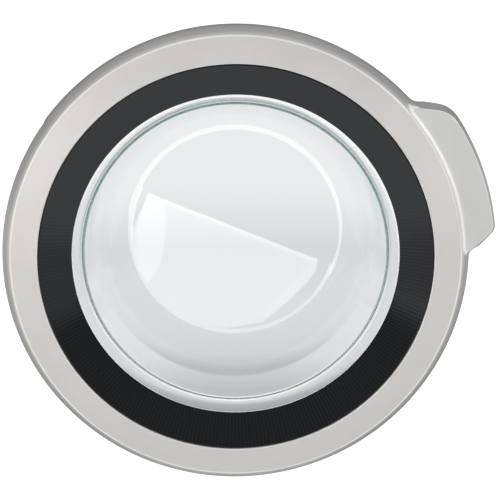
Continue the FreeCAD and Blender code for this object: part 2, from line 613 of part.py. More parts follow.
# the skirt stands back from the cabinet on the hinge side, so that the door can swing wide
turned(outer_frame, "HingeRelief", [
    ("ring_back_radius - relief_span", "ring_back_depth - relief_clear"),
    ("ring_back_radius + relief_clear", "ring_back_depth - relief_clear"),
    ("ring_back_radius + relief_clear", "relief_depth"),
    ("ring_back_radius - relief_span", "relief_depth"),
], "PartDesign::Groove", "2 * relief_half_angle", "180")
doc.recompute()


# finger tray that lines the pocket behind the wing
handle_liner = new_body("handle_liner")
tray_outline = sketch_on(handle_liner, "XZ_Plane", "TrayOutline", "tray_back_depth")
tray_corners, tray_arcs = wing_pocket("tray_gap")
draw_profile(tray_outline, sharp(tray_corners), tray_arcs)
padded(handle_liner, "Tray", tray_outline, POCKET_DEPTH + " - tray_back_depth")
scoop_outline = sketch_on(handle_liner, "XZ_Plane", "ScoopOutline", POCKET_DEPTH + " - tray_wall")
scoop_corners, scoop_arcs = wing_pocket("(tray_gap + tray_wall)")
draw_profile(scoop_outline, sharp(scoop_corners), scoop_arcs)
cut_back(handle_liner, "Scoop", scoop_outline, POCKET_DEPTH)
rounded(handle_liner, "Scoop", scoop_corners, from_front)
rounded(handle_liner, "Tray", tray_corners, from_front)

# dark dished trim, hooked behind the lip and standing on the glass
trim_ring = new_body("trim_ring")
TRIM_FRONT = "(ring_lip_depth - trim_set_back)"
TRIM_SLOPE = "((%s - %s) / trim_width)" % (TRIM_FRONT, TRIM_IN_DEPTH)
TRIM_DROP = "(trim_wall * sqrt(1 + " + TRIM_SLOPE + " ^ 2))"
HOOK_FRONT = "(ring_lip_depth - ring_lip_return)"


def trim_back(radius):
    """Depth of the trim's hidden side at a radius."""
    return "(%s + (%s - %s) * %s - %s)" % (TRIM_IN_DEPTH, radius, TRIM_IN, TRIM_SLOPE, TRIM_DROP)


turned(trim_ring, "TrimDish", [
    (TRIM_OUT, TRIM_FRONT, "trim_edge_round"),
    (TRIM_OUT, HOOK_FRONT),
    (LIP_RADIUS + " + trim_flange", HOOK_FRONT),
    (LIP_RADIUS + " + trim_flange", HOOK_FRONT + " - trim_wall"),
    (TRIM_OUT + " - trim_wall", HOOK_FRONT + " - trim_wall"),
    (TRIM_OUT + " - trim_wall", trim_back("(" + TRIM_OUT + " - trim_wall)")),
    (TRIM_IN + " + trim_foot", trim_back("(" + TRIM_IN + " + trim_foot)")),
    (TRIM_IN + " + trim_foot", "glass_front_depth"),
    (TRIM_IN, "glass_front_depth"),
    (TRIM_IN, TRIM_IN_DEPTH, "trim_foot_round"),
])

# pressed glass bowl
glass_bowl = new_body("glass_bowl")
BOWL_BACK_MOUTH = "(%s - glass_wall * %s + %s)" % (MOUTH_RADIUS, GLASS_TAPER, GLASS_SIDE)
BOWL_BACK_BASE = "(%s - glass_wall * %s + %s)" % (BASE_RADIUS, GLASS_TAPER, GLASS_SIDE)
turned(glass_bowl, "Bowl", [
    (FLANGE_RADIUS, "glass_front_depth", "glass_rim_round"),
    (MOUTH_RADIUS, "glass_front_depth", "glass_mouth_round"),
    (BASE_RADIUS, "-glass_base_reach", "glass_base_round"),
    ("0", "-glass_base_reach"),
    ("0", "-glass_base_reach - glass_wall"),
    (BOWL_BACK_BASE, "-glass_base_reach - glass_wall", "glass_base_round + glass_wall"),
    (BOWL_BACK_MOUTH, "glass_front_depth - glass_wall", "glass_mouth_round - glass_wall"),
    (FLANGE_RADIUS, "glass_front_depth - glass_wall", "glass_rim_round"),
])

# back frame that clamps the glass
inner_frame = new_body("inner_frame")
turned(inner_frame, "BackPlate", [
    (PLATE_IN, PLATE_FRONT),
    (PLATE_IN, "collar_depth", "collar_round"),
    (PLATE_IN + " + collar_wall", "collar_depth", "collar_round"),
    (PLATE_IN + " + collar_wall", PLATE_BACK, "collar_round"),
    (PLATE_RADIUS, PLATE_BACK, "plate_edge_round"),
    (PLATE_RADIUS, "plate_rim_depth"),
    (PLATE_RADIUS + " - plate_wall", "plate_rim_depth"),
    (PLATE_RADIUS + " - plate_wall", PLATE_FRONT),
    (SEAT_OUT, PLATE_FRONT),
    (SEAT_OUT, PLATE_FRONT + " + glass_seat_height"),
    (SEAT_IN, PLATE_FRONT + " + glass_seat_height"),
    (SEAT_IN, PLATE_FRONT),
])
EAR_IN = "(hook_half + hook_side_gap)"
for side, low in (("Upper", EAR_IN), ("Lower", "-" + EAR_IN + " - hook_ear_wall")):
    prism(inner_frame, "Hook" + side + "Ear", "XY_Plane", low, "hook_ear_wall", section([
        (HOOK_X + " - hook_ear_half", PLATE_FRONT + " - hook_ear_sink"),
        (HOOK_X + " - hook_ear_half", "hook_ear_depth", "hook_ear_half - hook_ear_sink"),
        (HOOK_X + " + hook_ear_half", "hook_ear_depth", "hook_ear_half - hook_ear_sink"),
        (HOOK_X + " + hook_ear_half", PLATE_FRONT + " - hook_ear_sink"),
    ]))
pin_hole = sketch_on(inner_frame, "XY_Plane", "HookPinHoleOutline", EAR_IN + " + hook_ear_wall + cut_spare")
draw_circle(pin_hole, HOOK_X, "-hook_depth", "hook_pin_radius + fit_gap")
cut_back(inner_frame, "HookPinHole", pin_hole, "2 * (" + EAR_IN + " + hook_ear_wall + cut_spare)")
hook_window = sketch_on(inner_frame, "XZ_Plane", "HookWindowOutline", PLATE_FRONT)
draw_box(hook_window, HOOK_X + " - hook_window_in", HOOK_X + " + hook_window_out",
         "-hook_window_half", "hook_window_half")
cut_back(inner_frame, "HookWindow", hook_window, PLATE_FRONT)
screw_hole = sketch_on(inner_frame, "XZ_Plane", "FrameScrewHoleOutline", PLATE_FRONT)
draw_circle(screw_hole, first_boss[0], first_boss[1], "frame_screw_radius + screw_hole_gap")
screw_hole_cut = cut_back(inner_frame, "FrameScrewHole", screw_hole, PLATE_FRONT)
ringed(inner_frame, "FrameScrewHoles", [screw_hole_cut], "frame_screw_count")

# openings on the hinge side: one for the knuckle and one for each goose neck
EAR_LOW = "(hinge_knuckle_half + hinge_bush_flange + hinge_ear_gap)"
EAR_HIGH = "(" + EAR_LOW + " + hinge_ear_height)"
WINDOW_TOP = "(" + EAR_HIGH + " + 2 * hinge_window_gap)"
knuckle_window = sketch_on(inner_frame, "XZ_Plane", "KnuckleWindowOutline", "plate_rim_depth + cut_spare")
draw_box(knuckle_window, "-ring_back_radius", AXIS_X + " + hinge_eye_radius + knuckle_window_gap",
         "-" + WINDOW_TOP, WINDOW_TOP)
cut_back(inner_frame, "KnuckleWindow", knuckle_window, "plate_rim_depth + cut_spare")
for side, sign in (("Upper", ""), ("Lower", "-")):
    neck_window = sketch_on(inner_frame, "XZ_Plane", "Neck" + side + "WindowOutline", PLATE_FRONT)
    ends = (sign + "(" + EAR_LOW + " - hinge_ear_gap)", sign + "(" + EAR_HIGH + " + hinge_window_gap)")
    low_end, high_end = ends if sign == "" else (ends[1], ends[0])
    draw_box(neck_window, AXIS_X + " + hinge_eye_radius", AXIS_X + " + hinge_neck_reach + hinge_window_gap",
             low_end, high_end)
    cut_back(inner_frame, "Neck" + side + "Window", neck_window, PLATE_FRONT)
arm_holes = sketch_on(inner_frame, "XZ_Plane", "ArmScrewHoleOutline", PLATE_FRONT)
for reach in ("arm_screw_near", "arm_screw_far"):
    for height in ("arm_screw_half", "-arm_screw_half"):
        draw_circle(arm_holes, AXIS_X + " + " + reach, height, "arm_screw_radius + arm_hole_gap")
cut_back(inner_frame, "ArmScrewHoles", arm_holes, PLATE_FRONT)

# screws that draw the two frames together
frame_screws = new_body("frame_screws")
frame_screws.AllowCompound = True
HEAD_BACK = "(" + PLATE_BACK + " - frame_screw_head)"
head_outline = sketch_on(frame_screws, "XZ_Plane", "FrameScrewHeadOutline", HEAD_BACK)
draw_circle(head_outline, first_boss[0], first_boss[1], "frame_screw_head_radius")
head = padded(frame_screws, "FrameScrewHead", head_outline, "frame_screw_head")
shank_outline = sketch_on(frame_screws, "XZ_Plane", "FrameScrewShankOutline", HEAD_BACK)
draw_circle(shank_outline, first_boss[0], first_boss[1], "frame_screw_radius")
shank = padded(frame_screws, "FrameScrewShank", shank_outline, "frame_screw_head + frame_screw_length")
ringed(frame_screws, "FrameScrewRing", [head, shank], "frame_screw_count")

# rubber buffers
door_buffers = new_body("door_buffers")
door_buffers.AllowCompound = True
first_buffer = polar(BUFFER_CIRCLE, "buffer_first_angle")
buffer_outline = sketch_on(door_buffers, "XZ_Plane", "BufferOutline", "buffer_back_depth")
draw_circle(buffer_outline, first_buffer[0], first_buffer[1], "buffer_radius")
buffer = padded(door_buffers, "Buffer", buffer_outline, PLATE_BACK + " - buffer_back_depth")
ringed(door_buffers, "BufferRing", [buffer], "buffer_count")

# hinge bracket on the cabinet: a leaf with two goose neck ears
hinge_bracket = new_body("hinge_bracket")


def hinge_section(corners):
    """Corners given from the hinge axis as (across, forward, rounding)."""
    return [(AXIS_X + " + " + c[0], "-(hinge_axis_depth + " + c[1] + ")") + tuple(c[2:]) for c in corners]


LEAF_FRONT = "(hinge_leaf_wall - hinge_axis_depth)"
LEAF_HALF = "(hinge_hole_spacing / 2 + hinge_leaf_margin)"
leaf_low = AXIS_X + " + hinge_leaf_start"
leaf_high = AXIS_X + " + hinge_leaf_start + hinge_leaf_width"
prism(hinge_bracket, "Leaf", "XZ_Plane", "0", "hinge_leaf_wall", [
    (leaf_low, "-" + LEAF_HALF, "hinge_leaf_near_round"),
    (leaf_high, "-" + LEAF_HALF, "hinge_leaf_far_round"),
    (leaf_high, LEAF_HALF, "hinge_leaf_far_round"),
    (leaf_low, LEAF_HALF, "hinge_leaf_near_round"),
])
for side, low in (("Upper", EAR_LOW), ("Lower", "-" + EAR_HIGH)):
    prism(hinge_bracket, "Neck" + side, "XY_Plane", low, "hinge_ear_height", hinge_section([
        ("(-hinge_eye_radius)", "(-hinge_eye_radius)", "hinge_eye_radius - hinge_eye_spare"),
        ("(-hinge_eye_radius)", "hinge_eye_radius", "hinge_eye_radius - hinge_eye_spare"),
        ("(hinge_neck_reach - hinge_neck_slope)", "hinge_eye_radius", "hinge_neck_round"),
        ("hinge_neck_reach", "(-hinge_neck_drop)", "hinge_neck_round"),
        ("hinge_neck_reach", "(" + LEAF_FRONT + " - cut_spare)"),
        ("(hinge_neck_reach - hinge_neck_width)", "(" + LEAF_FRONT + " - cut_spare)"),
        ("(hinge_neck_reach - hinge_neck_width)", "(-hinge_neck_under)", "hinge_neck_bend"),
        ("(hinge_eye_radius + hinge_eye_run)", "(-hinge_neck_under)", "hinge_eye_bend"),
        ("(hinge_eye_radius - hinge_eye_flat)", "(-hinge_eye_radius)", "hinge_eye_bend"),
    ]))
eye_hole = sketch_on(hinge_bracket, "XY_Plane", "EyeHoleOutline", EAR_HIGH + " + cut_spare")
draw_circle(eye_hole, AXIS_X, "-hinge_axis_depth", "hinge_pin_radius + fit_gap")
cut_back(hinge_bracket, "EyeHole", eye_hole, "2 * (" + EAR_HIGH + " + cut_spare)")
bolt_holes = sketch_on(hinge_bracket, "XZ_Plane", "BoltHoleOutline", "hinge_leaf_wall")
for height in ("hinge_hole_spacing / 2", "-hinge_hole_spacing / 2"):
    middle = AXIS_X + " + hinge_leaf_start + hinge_leaf_width / 2"
    draw_circle(bolt_holes, middle, height, "hinge_hole_radius")
cut_back(hinge_bracket, "BoltHoles", bolt_holes, "hinge_leaf_wall")

# hinge arm on the door: knuckle and strap in one
hinge_arm = new_body("hinge_arm")
STRAP_END = "(-(%s) - %s - hinge_arm_gap)" % (AXIS_X, SEAT_OUT)
STRAP_LOW = "(" + PLATE_FRONT + " - hinge_axis_depth)"
STRAP_HIGH = "(" + STRAP_LOW + " + hinge_arm_wall)"
prism(hinge_arm, "Arm", "XY_Plane", "-hinge_arm_half", "2 * hinge_arm_half", hinge_section([
    ("(-hinge_eye_radius)", "(-hinge_eye_radius)", "hinge_eye_radius - hinge_eye_flat"),
    ("(-hinge_eye_radius)", "hinge_eye_radius", "hinge_eye_radius - hinge_eye_spare"),
    ("hinge_eye_radius", "hinge_eye_radius", "hinge_eye_radius - hinge_eye_spare"),
    ("(hinge_eye_radius + hinge_arm_run)", STRAP_HIGH, "hinge_arm_bend"),
    (STRAP_END, STRAP_HIGH, "hinge_arm_end_round"),
    (STRAP_END, STRAP_LOW),
    ("hinge_arm_start", STRAP_LOW, "hinge_arm_bend"),
]))
knuckle_outline = sketch_on(hinge_arm, "XY_Plane", "KnuckleOutline", "-hinge_knuckle_half")
draw_circle(knuckle_outline, AXIS_X, "-hinge_axis_depth", "hinge_eye_radius")
padded(hinge_arm, "Knuckle", knuckle_outline, "2 * hinge_knuckle_half")
bore_outline = sketch_on(hinge_arm, "XY_Plane", "KnuckleBoreOutline", "hinge_knuckle_half")
draw_circle(bore_outline, AXIS_X, "-hinge_axis_depth", "hinge_bush_radius + fit_gap")
cut_back(hinge_arm, "KnuckleBore", bore_outline, "2 * hinge_knuckle_half")
THREAD_START = PLATE_FRONT + " + hinge_arm_wall + cut_spare"
thread_outline = sketch_on(hinge_arm, "XZ_Plane", "ArmThreadOutline", THREAD_START)
for reach in ("arm_screw_near", "arm_screw_far"):
    for height in ("arm_screw_half", "-arm_screw_half"):
        draw_circle(thread_outline, AXIS_X + " + " + reach, height, "arm_screw_radius + arm_thread_gap")
cut_back(hinge_arm, "ArmThreads", thread_outline, "hinge_arm_wall + 2 * cut_spare")

# screws through the back frame into the arm
hinge_arm_screws = new_body("hinge_arm_screws")
hinge_arm_screws.AllowCompound = True
ARM_HEAD_BACK = "(" + PLATE_BACK + " - arm_screw_head)"
arm_heads = sketch_on(hinge_arm_screws, "XZ_Plane", "ArmScrewHeadOutline", ARM_HEAD_BACK)
arm_shanks = sketch_on(hinge_arm_screws, "XZ_Plane", "ArmScrewShankOutline", ARM_HEAD_BACK)
for reach in ("arm_screw_near", "arm_screw_far"):
    for height in ("arm_screw_half", "-arm_screw_half"):
        draw_circle(arm_heads, AXIS_X + " + " + reach, height, "arm_screw_head_radius")
        draw_circle(arm_shanks, AXIS_X + " + " + reach, height, "arm_screw_radius")
padded(hinge_arm_screws, "ArmScrewHeads", arm_heads, "arm_screw_head")
padded(hinge_arm_screws, "ArmScrewShanks", arm_shanks, "arm_screw_head + plate_wall + hinge_arm_wall")

# bushes in the knuckle's two ends
for side, sign in (("upper", 1), ("lower", -1)):
    bush = new_body("hinge_bush_" + side)
    flange_low = "hinge_knuckle_half" if sign > 0 else "-hinge_knuckle_half - hinge_bush_flange"
    sleeve_low = "hinge_knuckle_half - hinge_bush_length" if sign > 0 else "-hinge_knuckle_half"
    sleeve = sketch_on(bush, "XY_Plane", "Sleeve" + side.title(), sleeve_low)
    draw_circle(sleeve, AXIS_X, "-hinge_axis_depth", "hinge_bush_radius")
    draw_circle(sleeve, AXIS_X, "-hinge_axis_depth", "hinge_pin_radius + hinge_pin_gap")
    padded(bush, "BushSleeve" + side.title(), sleeve, "hinge_bush_length")
    flange = sketch_on(bush, "XY_Plane", "Flange" + side.title(), flange_low)
    draw_circle(flange, AXIS_X, "-hinge_axis_depth", "hinge_eye_radius - hinge_bush_inset")
    draw_circle(flange, AXIS_X, "-hinge_axis_depth", "hinge_pin_radius + hinge_pin_gap")
    padded(bush, "BushFlange" + side.title(), flange, "hinge_bush_flange")

# hinge pin with a head at the top and a groove for the clip at the bottom
hinge_pin = new_body("hinge_pin")
GROOVE_TOP = "(-" + EAR_HIGH + " - hinge_clip_gap)"
GROOVE_LOW = "(" + GROOVE_TOP + " - hinge_clip_wall - 2 * hinge_clip_play)"
PIN_PARTS = (
    ("PinHead", EAR_HIGH, "hinge_head", "hinge_head_radius"),
    ("PinShank", GROOVE_TOP, EAR_HIGH + " - " + GROOVE_TOP, "hinge_pin_radius"),
    ("PinNeck", GROOVE_LOW, "hinge_clip_wall + 2 * hinge_clip_play", "hinge_groove_radius"),
    ("PinTail", GROOVE_LOW + " - hinge_pin_tail", "hinge_pin_tail", "hinge_pin_radius"),
)
for name, low, length, radius in PIN_PARTS:
    outline = sketch_on(hinge_pin, "XY_Plane", name + "Outline", low)
    draw_circle(outline, AXIS_X, "-hinge_axis_depth", radius)
    padded(hinge_pin, name, outline, length)

# clip in the pin's groove, open towards the front
hinge_pin_clip = new_body("hinge_pin_clip")
CLIP_LOW = GROOVE_TOP + " - hinge_clip_wall - hinge_clip_play"
clip_outline = sketch_on(hinge_pin_clip, "XY_Plane", "ClipOutline", CLIP_LOW)
draw_circle(clip_outline, AXIS_X, "-hinge_axis_depth", "hinge_clip_radius")
draw_circle(clip_outline, AXIS_X, "-hinge_axis_depth", "hinge_groove_radius + hinge_clip_fit")
padded(hinge_pin_clip, "Clip", clip_outline, "hinge_clip_wall")
mouth = sketch_on(hinge_pin_clip, "XY_Plane", "ClipMouthOutline", GROOVE_TOP)
draw_box(mouth, AXIS_X + " - hinge_clip_mouth", AXIS_X + " + hinge_clip_mouth",
         "-(hinge_axis_depth + hinge_clip_radius + cut_spare)", "-hinge_axis_depth")
cut_back(hinge_pin_clip, "ClipMouth", mouth, "hinge_clip_wall + cut_spare")

# latch hook
latch_hook = new_body("latch_hook")
prism(latch_hook, "Hook", "XY_Plane", "-hook_half", "2 * hook_half", section([
    (HOOK_X + " - hook_eye_half", "hook_depth + hook_eye_half", "hook_eye_round"),
    (HOOK_X + " + hook_eye_half", "hook_depth + hook_eye_half", "hook_eye_round"),
    (HOOK_X + " + hook_shank_half", "-hook_throat_reach", "hook_throat_round"),
    (HOOK_X + " + hook_shank_half + hook_beak", "-hook_throat_reach", "hook_beak_round"),
    (HOOK_X + " + hook_shank_half + hook_beak", "-hook_throat_reach - hook_beak_wall", "hook_tip_round"),
    (HOOK_X + " + hook_shank_half - hook_end_taper", "-hook_reach", "hook_end_round"),
    (HOOK_X + " - hook_shank_half + hook_end_taper", "-hook_reach", "hook_back_round"),
]))
hook_bore = sketch_on(latch_hook, "XY_Plane", "HookBoreOutline", "hook_half")
draw_circle(hook_bore, HOOK_X, "-hook_depth", "hook_pin_radius + hook_pin_gap")
cut_back(latch_hook, "HookBore", hook_bore, "2 * hook_half")

# pin of the hook
hook_pin = new_body("hook_pin")
pin_circle = sketch_on(hook_pin, "XY_Plane", "HookPinOutline", "-(" + EAR_IN + " + hook_ear_wall)")
draw_circle(pin_circle, HOOK_X, "-hook_depth", "hook_pin_radius")
padded(hook_pin, "HookPin", pin_circle, "2 * (" + EAR_IN + " + hook_ear_wall)")

# torsion spring on the hook's pin
hook_spring = new_body("hook_spring")
wire_outline = sketch_on(hook_spring, "XZ_Plane", "WireOutline")
draw_circle(wire_outline, "spring_coil_radius", "spring_wire_radius", "spring_wire_radius")
coil = hook_spring.newObject("PartDesign::AdditiveHelix", "Coil")
coil.Profile = wire_outline
coil.ReferenceAxis = (wire_outline, ["V_Axis"])
coil.Mode = 0
coil.setExpression("Pitch", linked("spring_pitch"))
coil.setExpression("Height", linked("spring_pitch * spring_turns"))
coil.LeftHanded = False
wire_outline.Visibility = False
hook_spring.setExpression("Placement.Base.x", linked(HOOK_X))
hook_spring.setExpression("Placement.Base.y", linked("-hook_depth"))
hook_spring.setExpression("Placement.Base.z", linked("hook_half + spring_gap"))
doc.recompute()

# every object must be sound before anything is written
BODIES = [item for item in doc.Objects if item.TypeId == "PartDesign::Body"]
for item in doc.Objects:
    if "Invalid" in item.State or "Error" in item.State:
        raise RuntimeError("%s is in error" % item.Name)
for body in BODIES:
    if body.Shape.isNull() or not body.Shape.isValid():
        raise RuntimeError("%s has no valid shape" % body.Label)

os.makedirs("parts", exist_ok=True)
for body in BODIES:
    body.Shape.exportStep("parts/" + body.Label + ".step")
    box = body.Shape.BoundBox
    print("%s: %d solids, %.1f cm3, x %.1f..%.1f y %.1f..%.1f z %.1f..%.1f" % (
        body.Label, len(body.Shape.Solids), body.Shape.Volume / 1000,
        box.XMin, box.XMax, box.YMin, box.YMax, box.ZMin, box.ZMax))
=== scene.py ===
import math

import bmesh
import bpy
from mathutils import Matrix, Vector


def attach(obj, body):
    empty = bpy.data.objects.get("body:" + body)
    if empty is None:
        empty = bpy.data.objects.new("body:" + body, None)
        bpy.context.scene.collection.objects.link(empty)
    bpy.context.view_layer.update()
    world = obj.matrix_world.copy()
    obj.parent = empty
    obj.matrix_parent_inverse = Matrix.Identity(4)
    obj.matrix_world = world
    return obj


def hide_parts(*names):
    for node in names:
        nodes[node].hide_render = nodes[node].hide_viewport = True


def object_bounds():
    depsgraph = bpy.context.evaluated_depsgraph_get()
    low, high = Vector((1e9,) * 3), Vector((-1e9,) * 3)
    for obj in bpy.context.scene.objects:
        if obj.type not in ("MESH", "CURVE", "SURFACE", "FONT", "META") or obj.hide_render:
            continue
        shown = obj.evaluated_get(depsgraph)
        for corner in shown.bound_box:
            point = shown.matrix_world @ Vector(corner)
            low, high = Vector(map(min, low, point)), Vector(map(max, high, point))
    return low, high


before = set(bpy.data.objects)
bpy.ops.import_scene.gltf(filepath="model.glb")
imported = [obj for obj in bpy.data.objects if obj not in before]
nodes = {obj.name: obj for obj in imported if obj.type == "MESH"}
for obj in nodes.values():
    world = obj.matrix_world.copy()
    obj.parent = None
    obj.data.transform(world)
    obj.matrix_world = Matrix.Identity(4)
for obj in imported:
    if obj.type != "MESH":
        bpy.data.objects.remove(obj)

cad_low, cad_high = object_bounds()
scene = bpy.context.scene
MM = 0.001
FULL_TURN = 360.0
TINY = 1e-6
# edges that turn by more than this stay sharp
SHARP = math.radians(38.0)


# Helpers for node trees.

def new_material(name):
    """A material with its node tree and its Principled shader."""
    mat = bpy.data.materials.new(name)
    mat.use_nodes = True
    tree = mat.node_tree
    return mat, tree, tree.nodes["Principled BSDF"]


def bare_tree(owner):
    """The emptied node tree of a material or a world."""
    owner.use_nodes = True
    owner.node_tree.nodes.clear()
    return owner.node_tree


def node(tree, kind, values=None, **settings):
    """A new node with its settings; values go to its inputs by name or number."""
    made = tree.nodes.new(kind)
    for key, value in settings.items():
        setattr(made, key, value)
    for key, value in (values or {}).items():
        made.inputs[key].default_value = value
    return made


def link(tree, *pairs):
    """Links each output with its input."""
    for source, target in pairs:
        tree.links.new(source, target)


def noise(tree, scale, detail):
    """Noise in object coordinates; scale counts per metre."""
    place = node(tree, "ShaderNodeTexCoord")
    made = node(tree, "ShaderNodeTexNoise", {"Scale": scale, "Detail": detail})
    link(tree, (place.outputs["Object"], made.inputs["Vector"]))
    return made.outputs["Fac"]


def spread(tree, source, low, high, start=0.3, end=0.7, **settings):
    """Maps a value from one range to another; the range given is that of most noise."""
    values = {"From Min": start, "From Max": end, "To Min": low, "To Max": high}
    made = node(tree, "ShaderNodeMapRange", values, **settings)
    link(tree, (source, made.inputs["Value"]))
    return made.outputs["Result"]


def stops(tree, source, table):
    """Colour that runs through a table of (position, colour)."""
    ramp = node(tree, "ShaderNodeValToRGB")
    for position, colour in table[1:-1]:
        ramp.color_ramp.elements.new(position)
    for element, (position, colour) in zip(ramp.color_ramp.elements, table):
        element.position = position
        element.color = (*colour, 1)
    link(tree, (source, ramp.inputs["Fac"]))
    return ramp.outputs["Color"]


def tint(tree, source, shades, start=0.3, end=0.7):
    """Colour that runs from a dark to a light shade with a value."""
    return stops(tree, source, [(start, shades[0]), (end, shades[1])])


def bump(tree, shader, source, strength, distance):
    """Lets a value raise the surface; distance is in metres."""
    made = node(tree, "ShaderNodeBump", {"Strength": strength, "Distance": distance})
    link(tree, (source, made.inputs["Height"]), (made.outputs["Normal"], shader.inputs["Normal"]))


def colour_socket(sockets, name):
    """The colour socket of a mix node, which has sockets of other kinds under the same name."""
    return next(socket for socket in sockets if socket.name == name and socket.type == "RGBA")


def surface(name, rough, grain, cloud, shades=None, metallic=0.0, glow=None):
    """Paint, plastic or metal with cloudy roughness and a fine grain of (count per metre, depth).

    Without shades the colour is left to the caller. A glow is (colour, strength).
    """
    mat, tree, shader = new_material(name)
    clouds = noise(tree, cloud, 3.0)
    if shades:
        link(tree, (tint(tree, clouds, shades), shader.inputs["Base Color"]))
    link(tree, (spread(tree, clouds, *rough), shader.inputs["Roughness"]))
    bump(tree, shader, noise(tree, grain[0], 1.0), 1.0, grain[1])
    shader.inputs["Metallic"].default_value = metallic
    if glow:
        shader.inputs["Emission Color"].default_value = (*glow[0], 1)
        shader.inputs["Emission Strength"].default_value = glow[1]
    return mat


def brushed(name, shades, rough, along, across, depth):
    """Metal drawn along one axis: the noise is stretched."""
    mat, tree, shader = new_material(name)
    place = node(tree, "ShaderNodeTexCoord")
    stretch = node(tree, "ShaderNodeMapping", {"Scale": (across, across, along)})
    lines = node(tree, "ShaderNodeTexNoise", {"Scale": 1.0, "Detail": 3.0})
    link(tree, (place.outputs["Object"], stretch.inputs["Vector"]),
         (stretch.outputs["Vector"], lines.inputs["Vector"]))
    drawn = lines.outputs["Fac"]
    link(tree, (tint(tree, drawn, shades), shader.inputs["Base Color"]),
         (spread(tree, drawn, *rough), shader.inputs["Roughness"]))
    bump(tree, shader, drawn, 0.5, depth)
    shader.inputs["Metallic"].default_value = 1.0
    return mat


# The silver paint, with light and shade painted into its colour: a painted highlight where it rolls over an
# edge and painted shade on the outer sides.
# Positions are shares of the turn from the front (0) to the side (1).
FACING_PAINTED_LIGHT = [
    (0.000, (0.590, 0.600, 0.590)),
    (0.030, (0.625, 0.612, 0.600)),
    (0.055, (0.625, 0.612, 0.600)),
    # painted highlight where the surface rolls over an edge or the crease
    (0.120, (0.960, 0.955, 0.940)),
    (0.260, (0.940, 0.935, 0.920)),
    (0.440, (0.660, 0.648, 0.636)),
    (1.000, (0.800, 0.790, 0.780)),
]
# painted shade on the outer side of the ring, where it faces outwards far from the axis
SIDE_PAINTED_SHADE = (0.49, 0.485, 0.48, 1)
PAINTED_SHADE_TURN = (0.28, 0.44)
# metres from the axis
PAINTED_SHADE_RADIUS = (0.2238, 0.2256)
SILVER_CLOUD = 24.0
CLOUD_SHARE = (0.98, 1.02)


def painted_light_colour(mat):
    """Paints light and shade into the colour by the way that it faces and by its distance from the axis:
    painted highlights on the roundings, painted shade on the outer side.
    """
    tree = mat.node_tree
    place = node(tree, "ShaderNodeTexCoord")
    facing = node(tree, "ShaderNodeSeparateXYZ")
    flat_place = node(tree, "ShaderNodeVectorMath", {1: (1, 0, 1)}, operation="MULTIPLY")
    reach = node(tree, "ShaderNodeVectorMath", operation="LENGTH")
    link(tree, (place.outputs["Normal"], facing.inputs[0]),
         (place.outputs["Object"], flat_place.inputs[0]),
         (flat_place.outputs[0], reach.inputs[0]))
    turned = spread(tree, facing.outputs["Y"], 0.0, 1.0, -1.0, 0.0)
    outside = node(tree, "ShaderNodeMath", operation="MULTIPLY")
    painted_side = node(tree, "ShaderNodeMix", data_type="RGBA")
    colour_socket(painted_side.inputs, "B").default_value = SIDE_PAINTED_SHADE
    shade = node(tree, "ShaderNodeVectorMath", operation="SCALE")
    clouds = noise(tree, SILVER_CLOUD, 3.0)
    link(tree, (spread(tree, reach.outputs["Value"], 0.0, 1.0, *PAINTED_SHADE_RADIUS), outside.inputs[0]),
         (spread(tree, turned, 0.0, 1.0, *PAINTED_SHADE_TURN), outside.inputs[1]),
         (outside.outputs[0], painted_side.inputs["Factor"]),
         (stops(tree, turned, FACING_PAINTED_LIGHT), colour_socket(painted_side.inputs, "A")),
         (colour_socket(painted_side.outputs, "Result"), shade.inputs[0]),
         (spread(tree, clouds, *CLOUD_SHARE), shade.inputs["Scale"]),
         (shade.outputs[0], tree.nodes["Principled BSDF"].inputs["Base Color"]))


# The gloss black, with fine radial lines: stripes of the angle round the bowl's axis.
STRIPES = 320
STRIPE_SHADES = ((0.0092, 0.0102, 0.0112), (0.0128, 0.0143, 0.0158))
GLOSS_TINT = (0.93, 1.0, 1.05, 1)


def striped_colour(mat):
    """Runs the colour through the stripes."""
    tree = mat.node_tree
    shader = tree.nodes["Principled BSDF"]
    place = node(tree, "ShaderNodeTexCoord")
    parts = node(tree, "ShaderNodeSeparateXYZ")
    turn = node(tree, "ShaderNodeMath", operation="ARCTAN2")
    many = node(tree, "ShaderNodeMath", {1: STRIPES}, operation="MULTIPLY")
    wave = node(tree, "ShaderNodeMath", operation="SINE")
    link(tree, (place.outputs["Object"], parts.inputs[0]),
         (parts.outputs["Z"], turn.inputs[0]),
         (parts.outputs["X"], turn.inputs[1]),
         (turn.outputs[0], many.inputs[0]),
         (many.outputs[0], wave.inputs[0]))
    share = spread(tree, wave.outputs[0], 0.0, 1.0, -1.0, 1.0)
    link(tree, (tint(tree, share, STRIPE_SHADES, 0.1, 0.9), shader.inputs["Base Color"]))
    shader.inputs["Specular Tint"].default_value = GLOSS_TINT


silver = surface("silver_paint", metallic=0.35, rough=(0.40, 0.46), grain=(2600.0, 0.00002),
                 cloud=SILVER_CLOUD)
